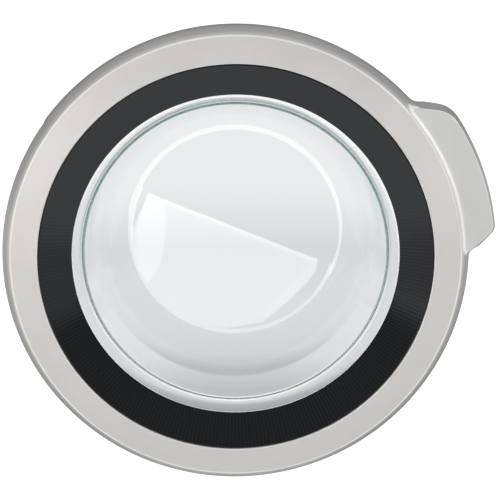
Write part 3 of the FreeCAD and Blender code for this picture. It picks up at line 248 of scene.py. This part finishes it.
# painted highlights and painted shade in the silver's colour
painted_light_colour(silver)
black = surface("gloss_black", rough=(0.10, 0.16), grain=(900.0, 0.000004), cloud=20.0)
striped_colour(black)
grey = surface("grey_plastic", rough=(0.42, 0.55), grain=(1400.0, 0.00006), cloud=18.0,
               shades=((0.50, 0.51, 0.52), (0.56, 0.57, 0.58)))
dark_grey = surface("liner_plastic", rough=(0.45, 0.6), grain=(1400.0, 0.00006), cloud=30.0,
                    shades=((0.055, 0.057, 0.06), (0.075, 0.077, 0.08)))
rubber = surface("buffer_rubber", rough=(0.65, 0.85), grain=(900.0, 0.0001), cloud=60.0,
                 shades=((0.022, 0.022, 0.022), (0.04, 0.04, 0.039)))
nylon = surface("bush_nylon", rough=(0.35, 0.5), grain=(1200.0, 0.00003), cloud=80.0,
                shades=((0.68, 0.66, 0.60), (0.78, 0.77, 0.71)))
zinc = brushed("zinc_steel", rough=(0.28, 0.46), along=30.0, across=700.0, depth=0.00003,
               shades=((0.50, 0.51, 0.53), (0.70, 0.70, 0.69)))
screw = surface("screw_steel", metallic=1.0, rough=(0.25, 0.42), grain=(1800.0, 0.00003), cloud=220.0,
                shades=((0.50, 0.51, 0.53), (0.66, 0.66, 0.65)))
cast = surface("cast_hook", metallic=1.0, rough=(0.38, 0.55), grain=(1100.0, 0.00009), cloud=120.0,
               shades=((0.42, 0.42, 0.41), (0.55, 0.55, 0.53)))
wire = surface("spring_wire", metallic=1.0, rough=(0.25, 0.4), grain=(2500.0, 0.00002), cloud=300.0,
               shades=((0.30, 0.30, 0.31), (0.45, 0.45, 0.45)))

# Pressed glass: clear, faintly blue, with the slight waves of the mould and a teal body.
GLASS_TINT = (0.970, 0.992, 1.0, 1)
GLASS_BODY = {"Color": (0.38, 0.475, 0.47, 1), "Density": 4.0}
glass, glass_tree, glass_shader = new_material("pressed_glass")
glass_shader.inputs["Base Color"].default_value = GLASS_TINT
glass_shader.inputs["Transmission Weight"].default_value = 1.0
glass_shader.inputs["IOR"].default_value = 1.5
waves = noise(glass_tree, 14.0, 1.0)
bump(glass_tree, glass_shader, waves, 0.25, 0.0001)
body = node(glass_tree, "ShaderNodeVolumeAbsorption", GLASS_BODY)
link(glass_tree, (spread(glass_tree, waves, 0.0, 0.008), glass_shader.inputs["Roughness"]),
     (body.outputs["Volume"], glass_tree.nodes["Material Output"].inputs["Volume"]))

# the flange under the trim, ground and pale, with a painted glow whose light is piped through the glass
glass_edge_glow = surface("glass_edge_glow", rough=(0.5, 0.6), grain=(800.0, 0.00002), cloud=60.0,
                     shades=((0.62, 0.78, 0.77), (0.72, 0.86, 0.85)), glow=((0.80, 0.96, 0.95), 0.45))

# the trim's inner wall and foot, pale with a painted glow: a painted light line at the glass's edge
inner_wall_glow = surface("trim_inner_glow", rough=(0.3, 0.4), grain=(800.0, 0.00002), cloud=60.0,
               shades=((0.66, 0.78, 0.77), (0.74, 0.85, 0.84)), glow=((0.78, 0.93, 0.92), 0.55))


# Sections and meshes.

def rounded(corners, step=7.0):
    """Points (radius, y) of a closed section whose corners (radius, y, rounding) are rounded.

    The step is the turn in degrees from one point of a rounding to the next.
    """
    points = []
    count = len(corners)
    for i in range(count):
        here = Vector(corners[i][:2])
        size = corners[i][2]
        if size <= 0:
            points.append(here)
            continue
        back = (Vector(corners[i - 1][:2]) - here).normalized()
        ahead = (Vector(corners[(i + 1) % count][:2]) - here).normalized()
        half = back.angle(ahead) / 2
        centre = here + (back + ahead).normalized() * (size / math.sin(half))
        first = here + back * (size / math.tan(half)) - centre
        last = here + ahead * (size / math.tan(half)) - centre
        turn = first.angle_signed(last)
        parts = max(2, round(abs(math.degrees(turn)) / step))
        start = math.atan2(first.y, first.x)
        for k in range(parts + 1):
            angle = start - turn * k / parts
            points.append(centre + Vector((math.cos(angle), math.sin(angle))) * size)
    return points


def finished(name, build):
    """The mesh as an object, smooth but for its sharp edges."""
    bmesh.ops.recalc_face_normals(build, faces=build.faces)
    for face in build.faces:
        face.smooth = True
    for edge in build.edges:
        if edge.calc_face_angle(0.0) > SHARP:
            edge.smooth = False
    mesh = bpy.data.meshes.new(name)
    build.to_mesh(mesh)
    build.free()
    made = bpy.data.objects.new(name, mesh)
    scene.collection.objects.link(made)
    return made


def lathe(name, points, segments, lift=None):
    """Section (radius, y) in mm turned round the Y axis; lift(k, radius, y) may move a point along Y."""
    build = bmesh.new()
    rings = []
    for point in points:
        if point.x < TINY:
            rings.append([build.verts.new((0, point.y * MM, 0))])
            continue
        ring = []
        for k in range(segments):
            angle = 2 * math.pi * k / segments
            y = point.y + (lift(k, point.x, point.y) if lift else 0.0)
            x, z = point.x * math.cos(angle), point.x * math.sin(angle)
            ring.append(build.verts.new((x * MM, y * MM, z * MM)))
        rings.append(ring)
    for i, one in enumerate(rings):
        two = rings[(i + 1) % len(rings)]
        if len(one) == 1 and len(two) == 1:
            continue
        for k in range(segments):
            n = (k + 1) % segments
            if len(one) == 1:
                build.faces.new((one[0], two[n], two[k]))
            elif len(two) == 1:
                build.faces.new((one[k], one[n], two[0]))
            else:
                build.faces.new((one[k], one[n], two[n], two[k]))
    return finished(name, build)


# The front ring with its pull wing, in mm; angles in degrees, anticlockwise from the right.
# Pairs are (radius, depth), and depth runs forwards.
RING_BACK = (230.0, 6.0)
RING_TURN = (229.2, 13.0)
RING_EDGE = (222.0, 24.0)
RING_LIP = (194.8, 31.5)
LIP_RETURN = 5.0
LIP_ROUND = 1.2
WALL = 2.5
LIP_THICKER = 0.7
EDGE_ROUND = 4.5
TURN_ROUND = 15.0
# below the edge of the face by this much the skirt starts
SKIRT_START = 2.0
# first and last angle of the hinge relief, its depth and the run of its ends
RELIEF = (144.5, 215.5, 10.0)
RELIEF_END = 0.5
WING_FLAT = 20.0
WING_BACK = 7.5
WING_OUT = 257.0
WING_FLARE = 2.2
WING_INSET = WING_FLARE * 0.25
WING_EDGE_ROUND = 1.5
WING_SIDE_LEAN = 0.5
# angles of the root and of the outer corner, at the top and below
WING_TOP = (42.0, 35.0)
WING_LOW = (-0.9, 4.9)
RING_RUN = (7.0, 8.0)
ROOT_ROUNDS = (43.0, 20.0)
CORNER_ROUNDS = (28.0, 12.0)
CREASE_ROUND = 9.0
FULL_WING = 8.0
# inner and outer radius of the finger pocket and its depth
POCKET = (233.0, 252.3, 17.5)
POCKET_SPAN = (6.3, 33.6)
POCKET_END = 0.5
POCKET_LEAN = 0.6
POCKET_BEVEL = 1.0
# steps and counts of points
FINE_SPAN = (-9.0, 53.0)
FINE_STEP = 0.2
COARSE_STEP = 1.0
OUTLINE_STEP = 2.0
FINE_ARC = 4.0
ARC_PARTS = 6
FLAT_POINTS = 9
BACK_POINTS = 13
POCKET_SIDE_POINTS = 3
POCKET_RIM_POINTS = 5
# a corner far behind, which closes an open run and is dropped again
FAR_CORNER = (0.0, -500.0, 0.0)


def at(radius, angle):
    return (radius * math.cos(math.radians(angle)), radius * math.sin(math.radians(angle)))


def ring_radius(depth):
    """Radius of the ring between the edge of its face and the turn of its skirt."""
    share = (RING_EDGE[1] - depth) / (RING_EDGE[1] - RING_TURN[1])
    return RING_EDGE[0] + (RING_TURN[0] - RING_EDGE[0]) * share


def wing_outline(ring, wing, inset):
    """Outline of ring and wing, as sorted (angle, radius)."""
    top, low = WING_TOP[1] - inset, WING_LOW[1] + inset
    arc = [low + (top - low) * part / ARC_PARTS for part in range(1, ARC_PARTS)]
    corners = [
        (*at(ring, WING_LOW[0] - RING_RUN[0]), 0.0),
        (*at(ring, WING_LOW[0] + inset), ROOT_ROUNDS[1]),
        (*at(wing, low), CORNER_ROUNDS[1]),
    ]
    corners += [(*at(wing, angle), 0.0) for angle in arc]
    corners += [
        (*at(wing, top), CORNER_ROUNDS[0]),
        (*at(ring, WING_TOP[0] - inset), ROOT_ROUNDS[0]),
        (*at(ring, WING_TOP[0] + RING_RUN[1]), 0.0),
        (0.0, 0.0, 0.0),
    ]
    spots = rounded(corners, OUTLINE_STEP)[:-1]
    return [(math.degrees(math.atan2(spot.y, spot.x)), spot.length) for spot in spots]


def read_off(outline, angle, ring):
    """Radius of an outline at an angle; outside the wing it is the ring's."""
    for one, two in zip(outline, outline[1:]):
        if one[0] <= angle <= two[0]:
            share = (angle - one[0]) / (two[0] - one[0])
            chord = one[1] + (two[1] - one[1]) * share
            return max(ring, chord)
    return ring


def spaced(points, count):
    """The polyline again, as so many points at equal spacing."""
    lengths = [0.0]
    for one, two in zip(points, points[1:]):
        lengths.append(lengths[-1] + (two - one).length)
    made = []
    for k in range(count):
        goal = lengths[-1] * k / (count - 1)
        i = max(j for j in range(len(points) - 1) if lengths[j] <= goal + 1e-9)
        span = lengths[i + 1] - lengths[i]
        made.append(points[i].lerp(points[i + 1], (goal - lengths[i]) / span if span > 0 else 0.0))
    return made


def open_rounded(corners, step=7.0):
    """Open run of corners (radius, depth, rounding)."""
    return rounded(corners + [FAR_CORNER], step)[:-1]


def ramp(value, low, high):
    """Smooth step from 0 to 1."""
    share = min(1.0, max(0.0, (value - low) / (high - low)))
    return share * share * (3 - 2 * share)


wing_edge_ring = ring_radius(WING_FLAT)
edge_outline = wing_outline(wing_edge_ring, WING_OUT - WING_FLARE, WING_INSET)
foot_outline = wing_outline(RING_BACK[0], WING_OUT, 0.0)
skirt_lean = (RING_BACK[0] - RING_TURN[0]) / (RING_TURN[1] - RING_BACK[1])
front = open_rounded([
    (RING_LIP[0], RING_LIP[1] - LIP_RETURN, 0.0),
    (*RING_LIP, LIP_ROUND),
    (*RING_EDGE, EDGE_ROUND),
    (*RING_TURN, TURN_ROUND),
    (*RING_BACK, 0.0),
])
split = max(i for i, point in enumerate(front) if point.y > RING_EDGE[1] - SKIRT_START)
face_part, skirt_part = front[:split + 1], front[split:]
under = [
    Vector((RING_TURN[0] - WALL, RING_TURN[1])),
    Vector((RING_EDGE[0] - WALL, RING_EDGE[1] - WALL)),
    Vector((RING_LIP[0] + WALL, RING_LIP[1] - WALL - LIP_THICKER)),
    Vector((RING_LIP[0] + WALL, RING_LIP[1] - LIP_RETURN)),
]


def outer_side(angle, back):
    """Run from the edge of the face to the back, over the wing where it stands."""
    edge = read_off(edge_outline, angle, wing_edge_ring)
    foot = read_off(foot_outline, angle, RING_BACK[0])
    grown = ramp(edge, wing_edge_ring, wing_edge_ring + FULL_WING)
    wide = max(edge, wing_edge_ring + FULL_WING)
    start = (skirt_part[0].x, skirt_part[0].y, 0.0)
    inside = (wing_edge_ring, WING_FLAT)
    crease = open_rounded([start, (*inside, CREASE_ROUND), (wide, WING_FLAT, 0.0)], FINE_ARC)[:-1]
    edge_corner = (wide, WING_FLAT, WING_EDGE_ROUND)
    side_end = (max(foot, wide + WING_SIDE_LEAN), WING_BACK, 0.0)
    bend = open_rounded([(*inside, 0.0), edge_corner, side_end], FINE_ARC)
    level = spaced([crease[-1], bend[1]], FLAT_POINTS)[1:-1]
    side = spaced(bend[-2:], FLAT_POINTS)[1:]
    winged = crease + level + spaced(bend[1:-1], FLAT_POINTS) + side
    plain = []
    for point in spaced(skirt_part, len(winged)):
        plain.append(Vector((point.x - skirt_lean * max(0.0, back - point.y), max(point.y, back))))
    return [one.lerp(two, grown) for one, two in zip(plain, winged)]


def back_side(angle, back, tip):
    """Run from the outer tip to the inner foot, through the finger pocket where it lies."""
    hollow = ramp(angle, POCKET_SPAN[0] - POCKET_END, POCKET_SPAN[0])
    hollow *= 1.0 - ramp(angle, POCKET_SPAN[1], POCKET_SPAN[1] + POCKET_END)
    inner_foot = Vector((RING_BACK[0] - WALL, max(back, RING_BACK[1])))
    level = [tip.lerp(inner_foot, k / (BACK_POINTS - 1)) for k in range(BACK_POINTS)]
    inner, outer, depth = POCKET
    outer_wall = [Vector((outer + POCKET_LEAN, tip.y)), Vector((outer, depth - POCKET_BEVEL))]
    bottom = [Vector((outer - POCKET_BEVEL, depth)), Vector((inner + POCKET_BEVEL, depth))]
    inner_wall = [Vector((inner, depth - POCKET_BEVEL)), Vector((inner, tip.y))]
    pocket = [level[0]] + spaced(outer_wall, POCKET_SIDE_POINTS) + bottom
    pocket += spaced(inner_wall, POCKET_SIDE_POINTS)
    pocket += spaced([pocket[-1], inner_foot], POCKET_RIM_POINTS)[1:]
    return [one.lerp(two, hollow) for one, two in zip(level, pocket)]


def frame_section(angle):
    """Closed section (radius, depth) of the front ring at an angle."""
    turn = (angle + FULL_TURN) % FULL_TURN
    relief = ramp(turn, RELIEF[0], RELIEF[0] + RELIEF_END)
    relief *= 1.0 - ramp(turn, RELIEF[1] - RELIEF_END, RELIEF[1])
    back = RING_BACK[1] + (RELIEF[2] - RING_BACK[1]) * relief
    outside = outer_side(angle, back)
    return face_part + outside[1:] + back_side(angle, back, outside[-1])[1:] + under


def frame_mesh(name):
    """The sections all round, joined up; they stand closer where the wing is."""
    build = bmesh.new()
    loops = []
    angle = FINE_SPAN[0]
    while angle < FINE_SPAN[0] + FULL_TURN - TINY:
        loop = []
        for point in frame_section(angle):
            x, z = at(point.x, angle)
            loop.append(build.verts.new((x * MM, -point.y * MM, z * MM)))
        loops.append(loop)
        angle += FINE_STEP if angle < FINE_SPAN[1] - TINY else COARSE_STEP
    for i, loop in enumerate(loops):
        after = loops[(i + 1) % len(loops)]
        for k in range(len(loop)):
            n = (k + 1) % len(loop)
            build.faces.new((loop[k], loop[n], after[n], after[k]))
    bmesh.ops.remove_doubles(build, verts=build.verts, dist=TINY)
    return finished(name, build)


ring = frame_mesh("outer_frame_fine")
ring.data.materials.append(silver)
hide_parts("outer_frame")
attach(ring, "door")

# The glass bowl, in mm; y runs backwards into the machine.
GLASS_WALL = 5.0
FLANGE_OUT = 177.7
FLANGE_ROUND = 1.0
BOWL_FRONT = -15.0
BOWL_FLOOR = 76.0
MOUTH = 150.5
FOOT = 134.6
MOUTH_ROUND = 14.0
FOOT_ROUND = 38.0
# the floor is flat out to here
BASE_FLAT = 101.0
BOWL_SEGMENTS = 288
# the flange is hidden beyond this radius
HIDDEN_FLANGE = 162.0
TAPER = (MOUTH - FOOT) / (BOWL_FLOOR - BOWL_FRONT)
THICKER = GLASS_WALL * math.sqrt(1 + TAPER ** 2) - GLASS_WALL * TAPER
bowl_section = rounded([
    (FLANGE_OUT, BOWL_FRONT, FLANGE_ROUND),
    (MOUTH, BOWL_FRONT, MOUTH_ROUND),
    (FOOT, BOWL_FLOOR, FOOT_ROUND),
    (BASE_FLAT, BOWL_FLOOR, 0.0),
    (0.0, BOWL_FLOOR, 0.0),
    (0.0, BOWL_FLOOR + GLASS_WALL, 0.0),
    (BASE_FLAT, BOWL_FLOOR + GLASS_WALL, 0.0),
    (FOOT + THICKER, BOWL_FLOOR + GLASS_WALL, FOOT_ROUND + GLASS_WALL),
    (MOUTH + THICKER, BOWL_FRONT + GLASS_WALL, MOUTH_ROUND - GLASS_WALL),
    (FLANGE_OUT, BOWL_FRONT + GLASS_WALL, FLANGE_ROUND),
], FINE_ARC)
bowl = lathe("glass_bowl_fine", bowl_section, BOWL_SEGMENTS)
bowl.data.materials.append(glass)
bowl.data.materials.append(glass_edge_glow)
# the hidden flange gets the painted glow
for face in bowl.data.polygons:
    if math.hypot(face.center.x, face.center.z) > HIDDEN_FLANGE * MM:
        face.material_index = 1
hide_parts("glass_bowl")
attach(bowl, "door")

# The dark trim, in mm, with fine radial ridges on its dish; pairs are (radius, depth).
TRIM_OUT = (194.5, 30.3)
TRIM_IN = (161.1, 16.3)
TRIM_ROUNDS = (0.8, 0.5)
TRIM_WALL = 2.5
TRIM_FOOT = (167.1, 15.0)
RIM_INSIDE = 192.0
LEDGE_OUT = 199.8
LEDGE_DEPTHS = (24.0, 26.5)
TRIM_STEP = 30.0
DISH_SHARES = (0.05, 0.07, 0.2, 0.35, 0.5, 0.65, 0.8, 0.92, 0.94)
RIDGES = 300
PER_RIDGE = 4
RIDGE_SPAN = (162.8, 193.0)
RIDGE_HEIGHT = 0.020
ON_DISH = 0.01
# the pale painted glow covers the inner wall and the foot
INNER_GLOW_RADIUS = 161.15
INNER_GLOW_DEPTH = -15.2
SLOPE = (TRIM_OUT[1] - TRIM_IN[1]) / (TRIM_OUT[0] - TRIM_IN[0])
DROP = TRIM_WALL * math.sqrt(1 + SLOPE ** 2)


def dish_depth(radius):
    return TRIM_IN[1] + (radius - TRIM_IN[0]) * SLOPE


def ridge(k, radius, y):
    """Ridges stand on the dish only, and end short of its two edges."""
    on_dish = abs(-y - dish_depth(radius)) < ON_DISH
    if not on_dish or not RIDGE_SPAN[0] < radius < RIDGE_SPAN[1]:
        return 0.0
    return RIDGE_HEIGHT / 2 * math.cos(2 * math.pi * k / PER_RIDGE)


dish = []
for part in DISH_SHARES:
    dish_radius = TRIM_OUT[0] - (TRIM_OUT[0] - TRIM_IN[0]) * part
    dish.append((dish_radius, -dish_depth(dish_radius), 0.0))
trim_section = rounded([(TRIM_OUT[0], -TRIM_OUT[1], TRIM_ROUNDS[0])] + dish + [
    (TRIM_IN[0], -TRIM_IN[1], TRIM_ROUNDS[1]),
    (TRIM_IN[0], -TRIM_FOOT[1], 0.0),
    (TRIM_FOOT[0], -TRIM_FOOT[1], 0.0),
    (TRIM_FOOT[0], DROP - dish_depth(TRIM_FOOT[0]), 0.0),
    (RIM_INSIDE, DROP - dish_depth(RIM_INSIDE), 0.0),
    (RIM_INSIDE, -LEDGE_DEPTHS[0], 0.0),
    (LEDGE_OUT, -LEDGE_DEPTHS[0], 0.0),
    (LEDGE_OUT, -LEDGE_DEPTHS[1], 0.0),
    (TRIM_OUT[0], -LEDGE_DEPTHS[1], 0.0),
], TRIM_STEP)
trim = lathe("trim_ring_fine", trim_section, RIDGES * PER_RIDGE, ridge)
trim.data.materials.append(black)
trim.data.materials.append(inner_wall_glow)
# the inner wall and foot get the pale painted glow
for face in trim.data.polygons:
    radius = math.hypot(face.center.x, face.center.z)
    if radius < INNER_GLOW_RADIUS * MM or face.center.y > INNER_GLOW_DEPTH * MM:
        face.material_index = 1
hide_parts("trim_ring")
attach(trim, "door")

# Finishes of the other pieces.
FINISH = {
    "handle_liner": dark_grey,
    "inner_frame": grey,
    "frame_screws": screw,
    "door_buffers": rubber,
    "hinge_bracket": zinc,
    "hinge_arm": zinc,
    "hinge_arm_screws": screw,
    "hinge_bush_upper": nylon,
    "hinge_bush_lower": nylon,
    "hinge_pin": screw,
    "hinge_pin_clip": wire,
    "latch_hook": cast,
    "hook_pin": screw,
    "hook_spring": wire,
}
for name, finish in FINISH.items():
    slots = nodes[name].material_slots
    if len(slots) == 0:
        nodes[name].data.materials.append(finish)
    for slot in slots:
        slot.material = finish

# The stage, in metres.
FLOOR_HALF = 30.0
FLOOR_GREY = (0.45, 0.45, 0.45, 1)
GROUND = cad_low.z - 0.0005
# glow of the floor by its distance (y) behind the door, as seen through the glass: weaker near the door, a
# painted shade for the door's shadow
BEHIND_GLOW_WITH_PAINTED_SHADE = [
    (0.00, 0.15),
    (0.30, 0.25),
    (0.42, 0.48),
    (0.55, 0.53),
    (0.75, 0.54),
    (0.90, 0.52),
    (1.15, 0.66),
    (1.25, 0.68),
]
BEHIND_REACH = BEHIND_GLOW_WITH_PAINTED_SHADE[-1][0]
# in front it steps from a dim to a brighter glow between two places
AHEAD_PLACES = (-0.58, -0.52)
AHEAD_GLOW = (0.20, 0.56)


def floor_material():
    """White to the camera, weaker in gloss and through the glass, with the door's shadow on it and painted
    shade in its glow near the door behind it.
    """
    mat = bpy.data.materials.new("floor_white")
    tree = bare_tree(mat)
    out = node(tree, "ShaderNodeOutputMaterial")
    both = node(tree, "ShaderNodeAddShader")
    matt = node(tree, "ShaderNodeBsdfDiffuse", {"Color": FLOOR_GREY})
    glow = node(tree, "ShaderNodeEmission")
    path = node(tree, "ShaderNodeLightPath")
    direct = node(tree, "ShaderNodeMath", operation="MAXIMUM")
    seen = node(tree, "ShaderNodeMath", operation="MAXIMUM")
    share = node(tree, "ShaderNodeMath", operation="MULTIPLY")
    level = node(tree, "ShaderNodeMapRange", {"To Max": 1.0})
    spot = node(tree, "ShaderNodeNewGeometry")
    spot_parts = node(tree, "ShaderNodeSeparateXYZ")
    is_behind = node(tree, "ShaderNodeMath", {1: 0.0}, operation="GREATER_THAN")
    shown = node(tree, "ShaderNodeMix")
    link(tree, (spot.outputs["Position"], spot_parts.inputs[0]))
    along = spot_parts.outputs["Y"]
    distance = spread(tree, along, 0.0, 1.0, 0.0, BEHIND_REACH)
    # painted shade: the glow rises with distance behind the door
    behind = stops(tree, distance, [(y / BEHIND_REACH, (light,) * 3) for y, light in BEHIND_GLOW_WITH_PAINTED_SHADE])
    ahead = spread(tree, along, *AHEAD_GLOW, *AHEAD_PLACES)
    link(tree, (along, is_behind.inputs[0]),
         (is_behind.outputs[0], shown.inputs["Factor"]),
         (ahead, shown.inputs["A"]),
         (behind, shown.inputs["B"]),
         (shown.outputs["Result"], level.inputs["To Min"]),
         (path.outputs["Is Camera Ray"], level.inputs["Value"]),
         (path.outputs["Is Camera Ray"], direct.inputs[0]),
         (path.outputs["Is Glossy Ray"], direct.inputs[1]),
         (direct.outputs[0], seen.inputs[0]),
         (path.outputs["Is Transmission Ray"], seen.inputs[1]),
         (seen.outputs[0], share.inputs[0]),
         (level.outputs["Result"], share.inputs[1]),
         (share.outputs[0], glow.inputs["Strength"]),
         (matt.outputs[0], both.inputs[0]),
         (glow.outputs[0], both.inputs[1]),
         (both.outputs[0], out.inputs["Surface"]))
    return mat


floor_mesh = bpy.data.meshes.new("floor")
floor_corners = [(x * FLOOR_HALF, y * FLOOR_HALF, GROUND) for x, y in ((-1, -1), (1, -1), (1, 1), (-1, 1))]
floor_mesh.from_pydata(floor_corners, [], [(0, 1, 2, 3)])
floor_mesh.materials.append(floor_material())
floor = bpy.data.objects.new("floor", floor_mesh)
scene.collection.objects.link(floor)

# The world: white to the camera and through the glass; in reflections a dim room under a pale ceiling.
WHITE = (1, 1, 1, 1)
AMBIENT = {"Color": (0.97, 0.985, 1.0, 1), "Strength": 0.42}
CEILING_PLACES = (0.50, 0.72)
ROOM_GLOW = (0.11, 0.30)


def studio_world():
    made = bpy.data.worlds.new("studio")
    tree = bare_tree(made)
    out = node(tree, "ShaderNodeOutputWorld")
    white = node(tree, "ShaderNodeBackground", {"Color": WHITE})
    plain = node(tree, "ShaderNodeBackground", AMBIENT)
    room = node(tree, "ShaderNodeBackground")
    toward = node(tree, "ShaderNodeTexCoord")
    apart = node(tree, "ShaderNodeSeparateXYZ")
    path = node(tree, "ShaderNodeLightPath")
    mirrored = node(tree, "ShaderNodeMath", operation="MULTIPLY")
    seen = node(tree, "ShaderNodeMath", operation="MAXIMUM")
    gloss_pick = node(tree, "ShaderNodeMixShader")
    pick = node(tree, "ShaderNodeMixShader")
    ceiling = spread(tree, apart.outputs["Z"], *ROOM_GLOW, *CEILING_PLACES, interpolation_type="SMOOTHSTEP")
    link(tree, (toward.outputs["Generated"], apart.inputs[0]),
         (ceiling, room.inputs["Strength"]),
         (path.outputs["Is Glossy Ray"], mirrored.inputs[0]),
         (path.outputs["Is Reflection Ray"], mirrored.inputs[1]),
         (path.outputs["Is Camera Ray"], seen.inputs[0]),
         (path.outputs["Is Transmission Ray"], seen.inputs[1]),
         (mirrored.outputs[0], gloss_pick.inputs["Fac"]),
         (plain.outputs[0], gloss_pick.inputs[1]),
         (room.outputs[0], gloss_pick.inputs[2]),
         (seen.outputs[0], pick.inputs["Fac"]),
         (gloss_pick.outputs[0], pick.inputs[1]),
         (white.outputs[0], pick.inputs[2]),
         (pick.outputs[0], out.inputs["Surface"]))
    return made


scene.world = studio_world()

# Lamps.
MIDDLE = (0.0, 0.0, 0.0)
CREASE = (0.2, 0.0, 0.05)
NEUTRAL = (1.0, 1.0, 1.0)
WARM = (1.0, 0.972, 0.945)


def softbox(name, place, size, radiance, aim=MIDDLE, colour=NEUTRAL):
    """Area lamp of a given brightness, which the camera does not see."""
    data = bpy.data.lights.new(name, "AREA")
    data.shape = "RECTANGLE"
    data.size, data.size_y = size
    data.energy = math.pi * size[0] * size[1] * radiance
    data.color = colour
    lamp = bpy.data.objects.new(name, data)
    scene.collection.objects.link(lamp)
    lamp.location = place
    lamp.rotation_mode = "QUATERNION"
    lamp.rotation_quaternion = (Vector(aim) - Vector(place)).to_track_quat("-Z", "Y")
    lamp.visible_camera = False
    return lamp


def group(name, pieces):
    """A collection of the pieces that a lamp lights."""
    made = bpy.data.collections.new(name)
    for piece in pieces:
        made.objects.link(piece)
    return made


key = softbox("key_box", (0.0, -1.7, 2.1), size=(2.6, 1.5), radiance=0.15, colour=WARM)
fill = softbox("front_fill", (-0.5, -3.3, -0.1), size=(4.0, 2.6), radiance=4.6, colour=WARM)
back_fill = softbox("back_fill", (0.8, 2.6, 1.0), size=(2.4, 1.8), radiance=1.8)
for lamp in (key, fill, back_fill):
    lamp.visible_glossy = False
    lamp.visible_transmission = False
# the back fill lights the door and leaves the floor as it is
door_pieces = group("lit_door", [ring, bowl, trim] + [nodes[name] for name in FINISH])
back_fill.light_linking.receiver_collection = door_pieces
# boxes at the sides that light the satin ring alone
only_ring = group("lit_ring", [ring])
left = softbox("left_box", (-1.9, -2.3, 0.1), size=(1.4, 1.4), radiance=2.4, colour=WARM)
right = softbox("right_box", (2.2, -2.2, -0.2), size=(1.4, 1.4), radiance=2.4)
beside = softbox("crease_box", (2.0, -0.7, 0.9), size=(1.0, 1.0), radiance=1.8, aim=CREASE)
for lamp in (left, right, beside):
    lamp.light_linking.receiver_collection = only_ring

# Bright sheets on the floor in front, which the flat base of the bowl mirrors; places are (x, y).
SHEET = [
    (-0.087, -1.000), (0.110, -0.672), (0.107, -0.640), (0.095, -0.585), (0.070, -0.500), (0.040, -0.415),
    (0.000, -0.390), (-0.048, -0.405), (-0.070, -0.445), (-0.092, -0.520), (-0.106, -0.640), (-0.107, -0.800),
]
STRIP = [
    (-0.087, -0.998), (-0.068, -0.960), (-0.064, -0.880), (-0.066, -0.780),
    (-0.072, -0.660), (-0.088, -0.560), (-0.101, -0.640), (-0.101, -0.800),
]
EDGE = [(-0.087, -1.000), (0.110, -0.672), (0.107, -0.655), (-0.084, -0.972)]
RIGHT_ARC = SHEET[1:6]
LEFT_ARC = SHEET[7:]
ARC_SIZES = ((1.0, 0.97), (0.945, 0.92))
ARC_HEIGHT = 0.008
ARC_GLOW = 5.0
SHEET_MIDDLE = (0.0, -0.65)
only_bowl = group("lit_by_sheets", [bowl])


def band(points, outer, inner):
    """Outline of a band along some points, between two sizes of the sheet."""
    middle_x, middle_y = SHEET_MIDDLE
    ends = []
    for size, run in ((outer, points), (inner, points[::-1])):
        for x, y in run:
            ends.append((middle_x + (x - middle_x) * size, middle_y + (y - middle_y) * size))
    return ends


def sheet(name, outline, height, strength):
    """A glowing sheet that shows in reflections alone and lights the bowl alone."""
    mesh = bpy.data.meshes.new(name)
    mesh.from_pydata([(x, y, GROUND + height) for x, y in outline], [], [tuple(range(len(outline)))])
    mat = bpy.data.materials.new(name)
    tree = bare_tree(mat)
    glow = node(tree, "ShaderNodeEmission", {"Strength": strength})
    out = node(tree, "ShaderNodeOutputMaterial")
    link(tree, (glow.outputs[0], out.inputs["Surface"]))
    mesh.materials.append(mat)
    made = bpy.data.objects.new(name, mesh)
    scene.collection.objects.link(made)
    made.visible_camera = False
    made.visible_diffuse = False
    made.visible_transmission = False
    made.visible_shadow = False
    made.light_linking.receiver_collection = only_bowl


sheet("floor_sheet", SHEET, height=0.002, strength=3.9)
sheet("floor_strip", STRIP, height=0.004, strength=5.8)
sheet("floor_edge", EDGE, height=0.006, strength=5.6)
for number, sizes in enumerate(ARC_SIZES):
    sheet("floor_arc_right_%d" % number, band(RIGHT_ARC, *sizes), ARC_HEIGHT, ARC_GLOW)
    sheet("floor_arc_left_%d" % number, band(LEFT_ARC, *sizes), ARC_HEIGHT, ARC_GLOW)

# The camera.
ELEVATION = math.radians(14.5)
AZIMUTH = math.radians(-1.2)
DISTANCE = 5.0
AIM = Vector((0.0143, 0.0, 0.0005))
SENSOR = 36.0
LENS = 365.1
FAR_CLIP = 200
data = bpy.data.cameras.new("camera")
data.sensor_width = SENSOR
data.lens = LENS
data.clip_end = FAR_CLIP
camera = bpy.data.objects.new("camera", data)
scene.collection.objects.link(camera)
flat = math.cos(ELEVATION) * DISTANCE
away = Vector((math.sin(AZIMUTH) * flat, -math.cos(AZIMUTH) * flat, math.sin(ELEVATION) * DISTANCE))
camera.location = AIM + away
camera.rotation_mode = "QUATERNION"
camera.rotation_quaternion = (AIM - camera.location).to_track_quat("-Z", "Y")
scene.camera = camera

scene.view_settings.view_transform = "Standard"
# light is piped a long way inside the glass
BOUNCES = 160
scene.cycles.max_bounces = BOUNCES
scene.cycles.glossy_bounces = BOUNCES
scene.cycles.transmission_bounces = BOUNCES
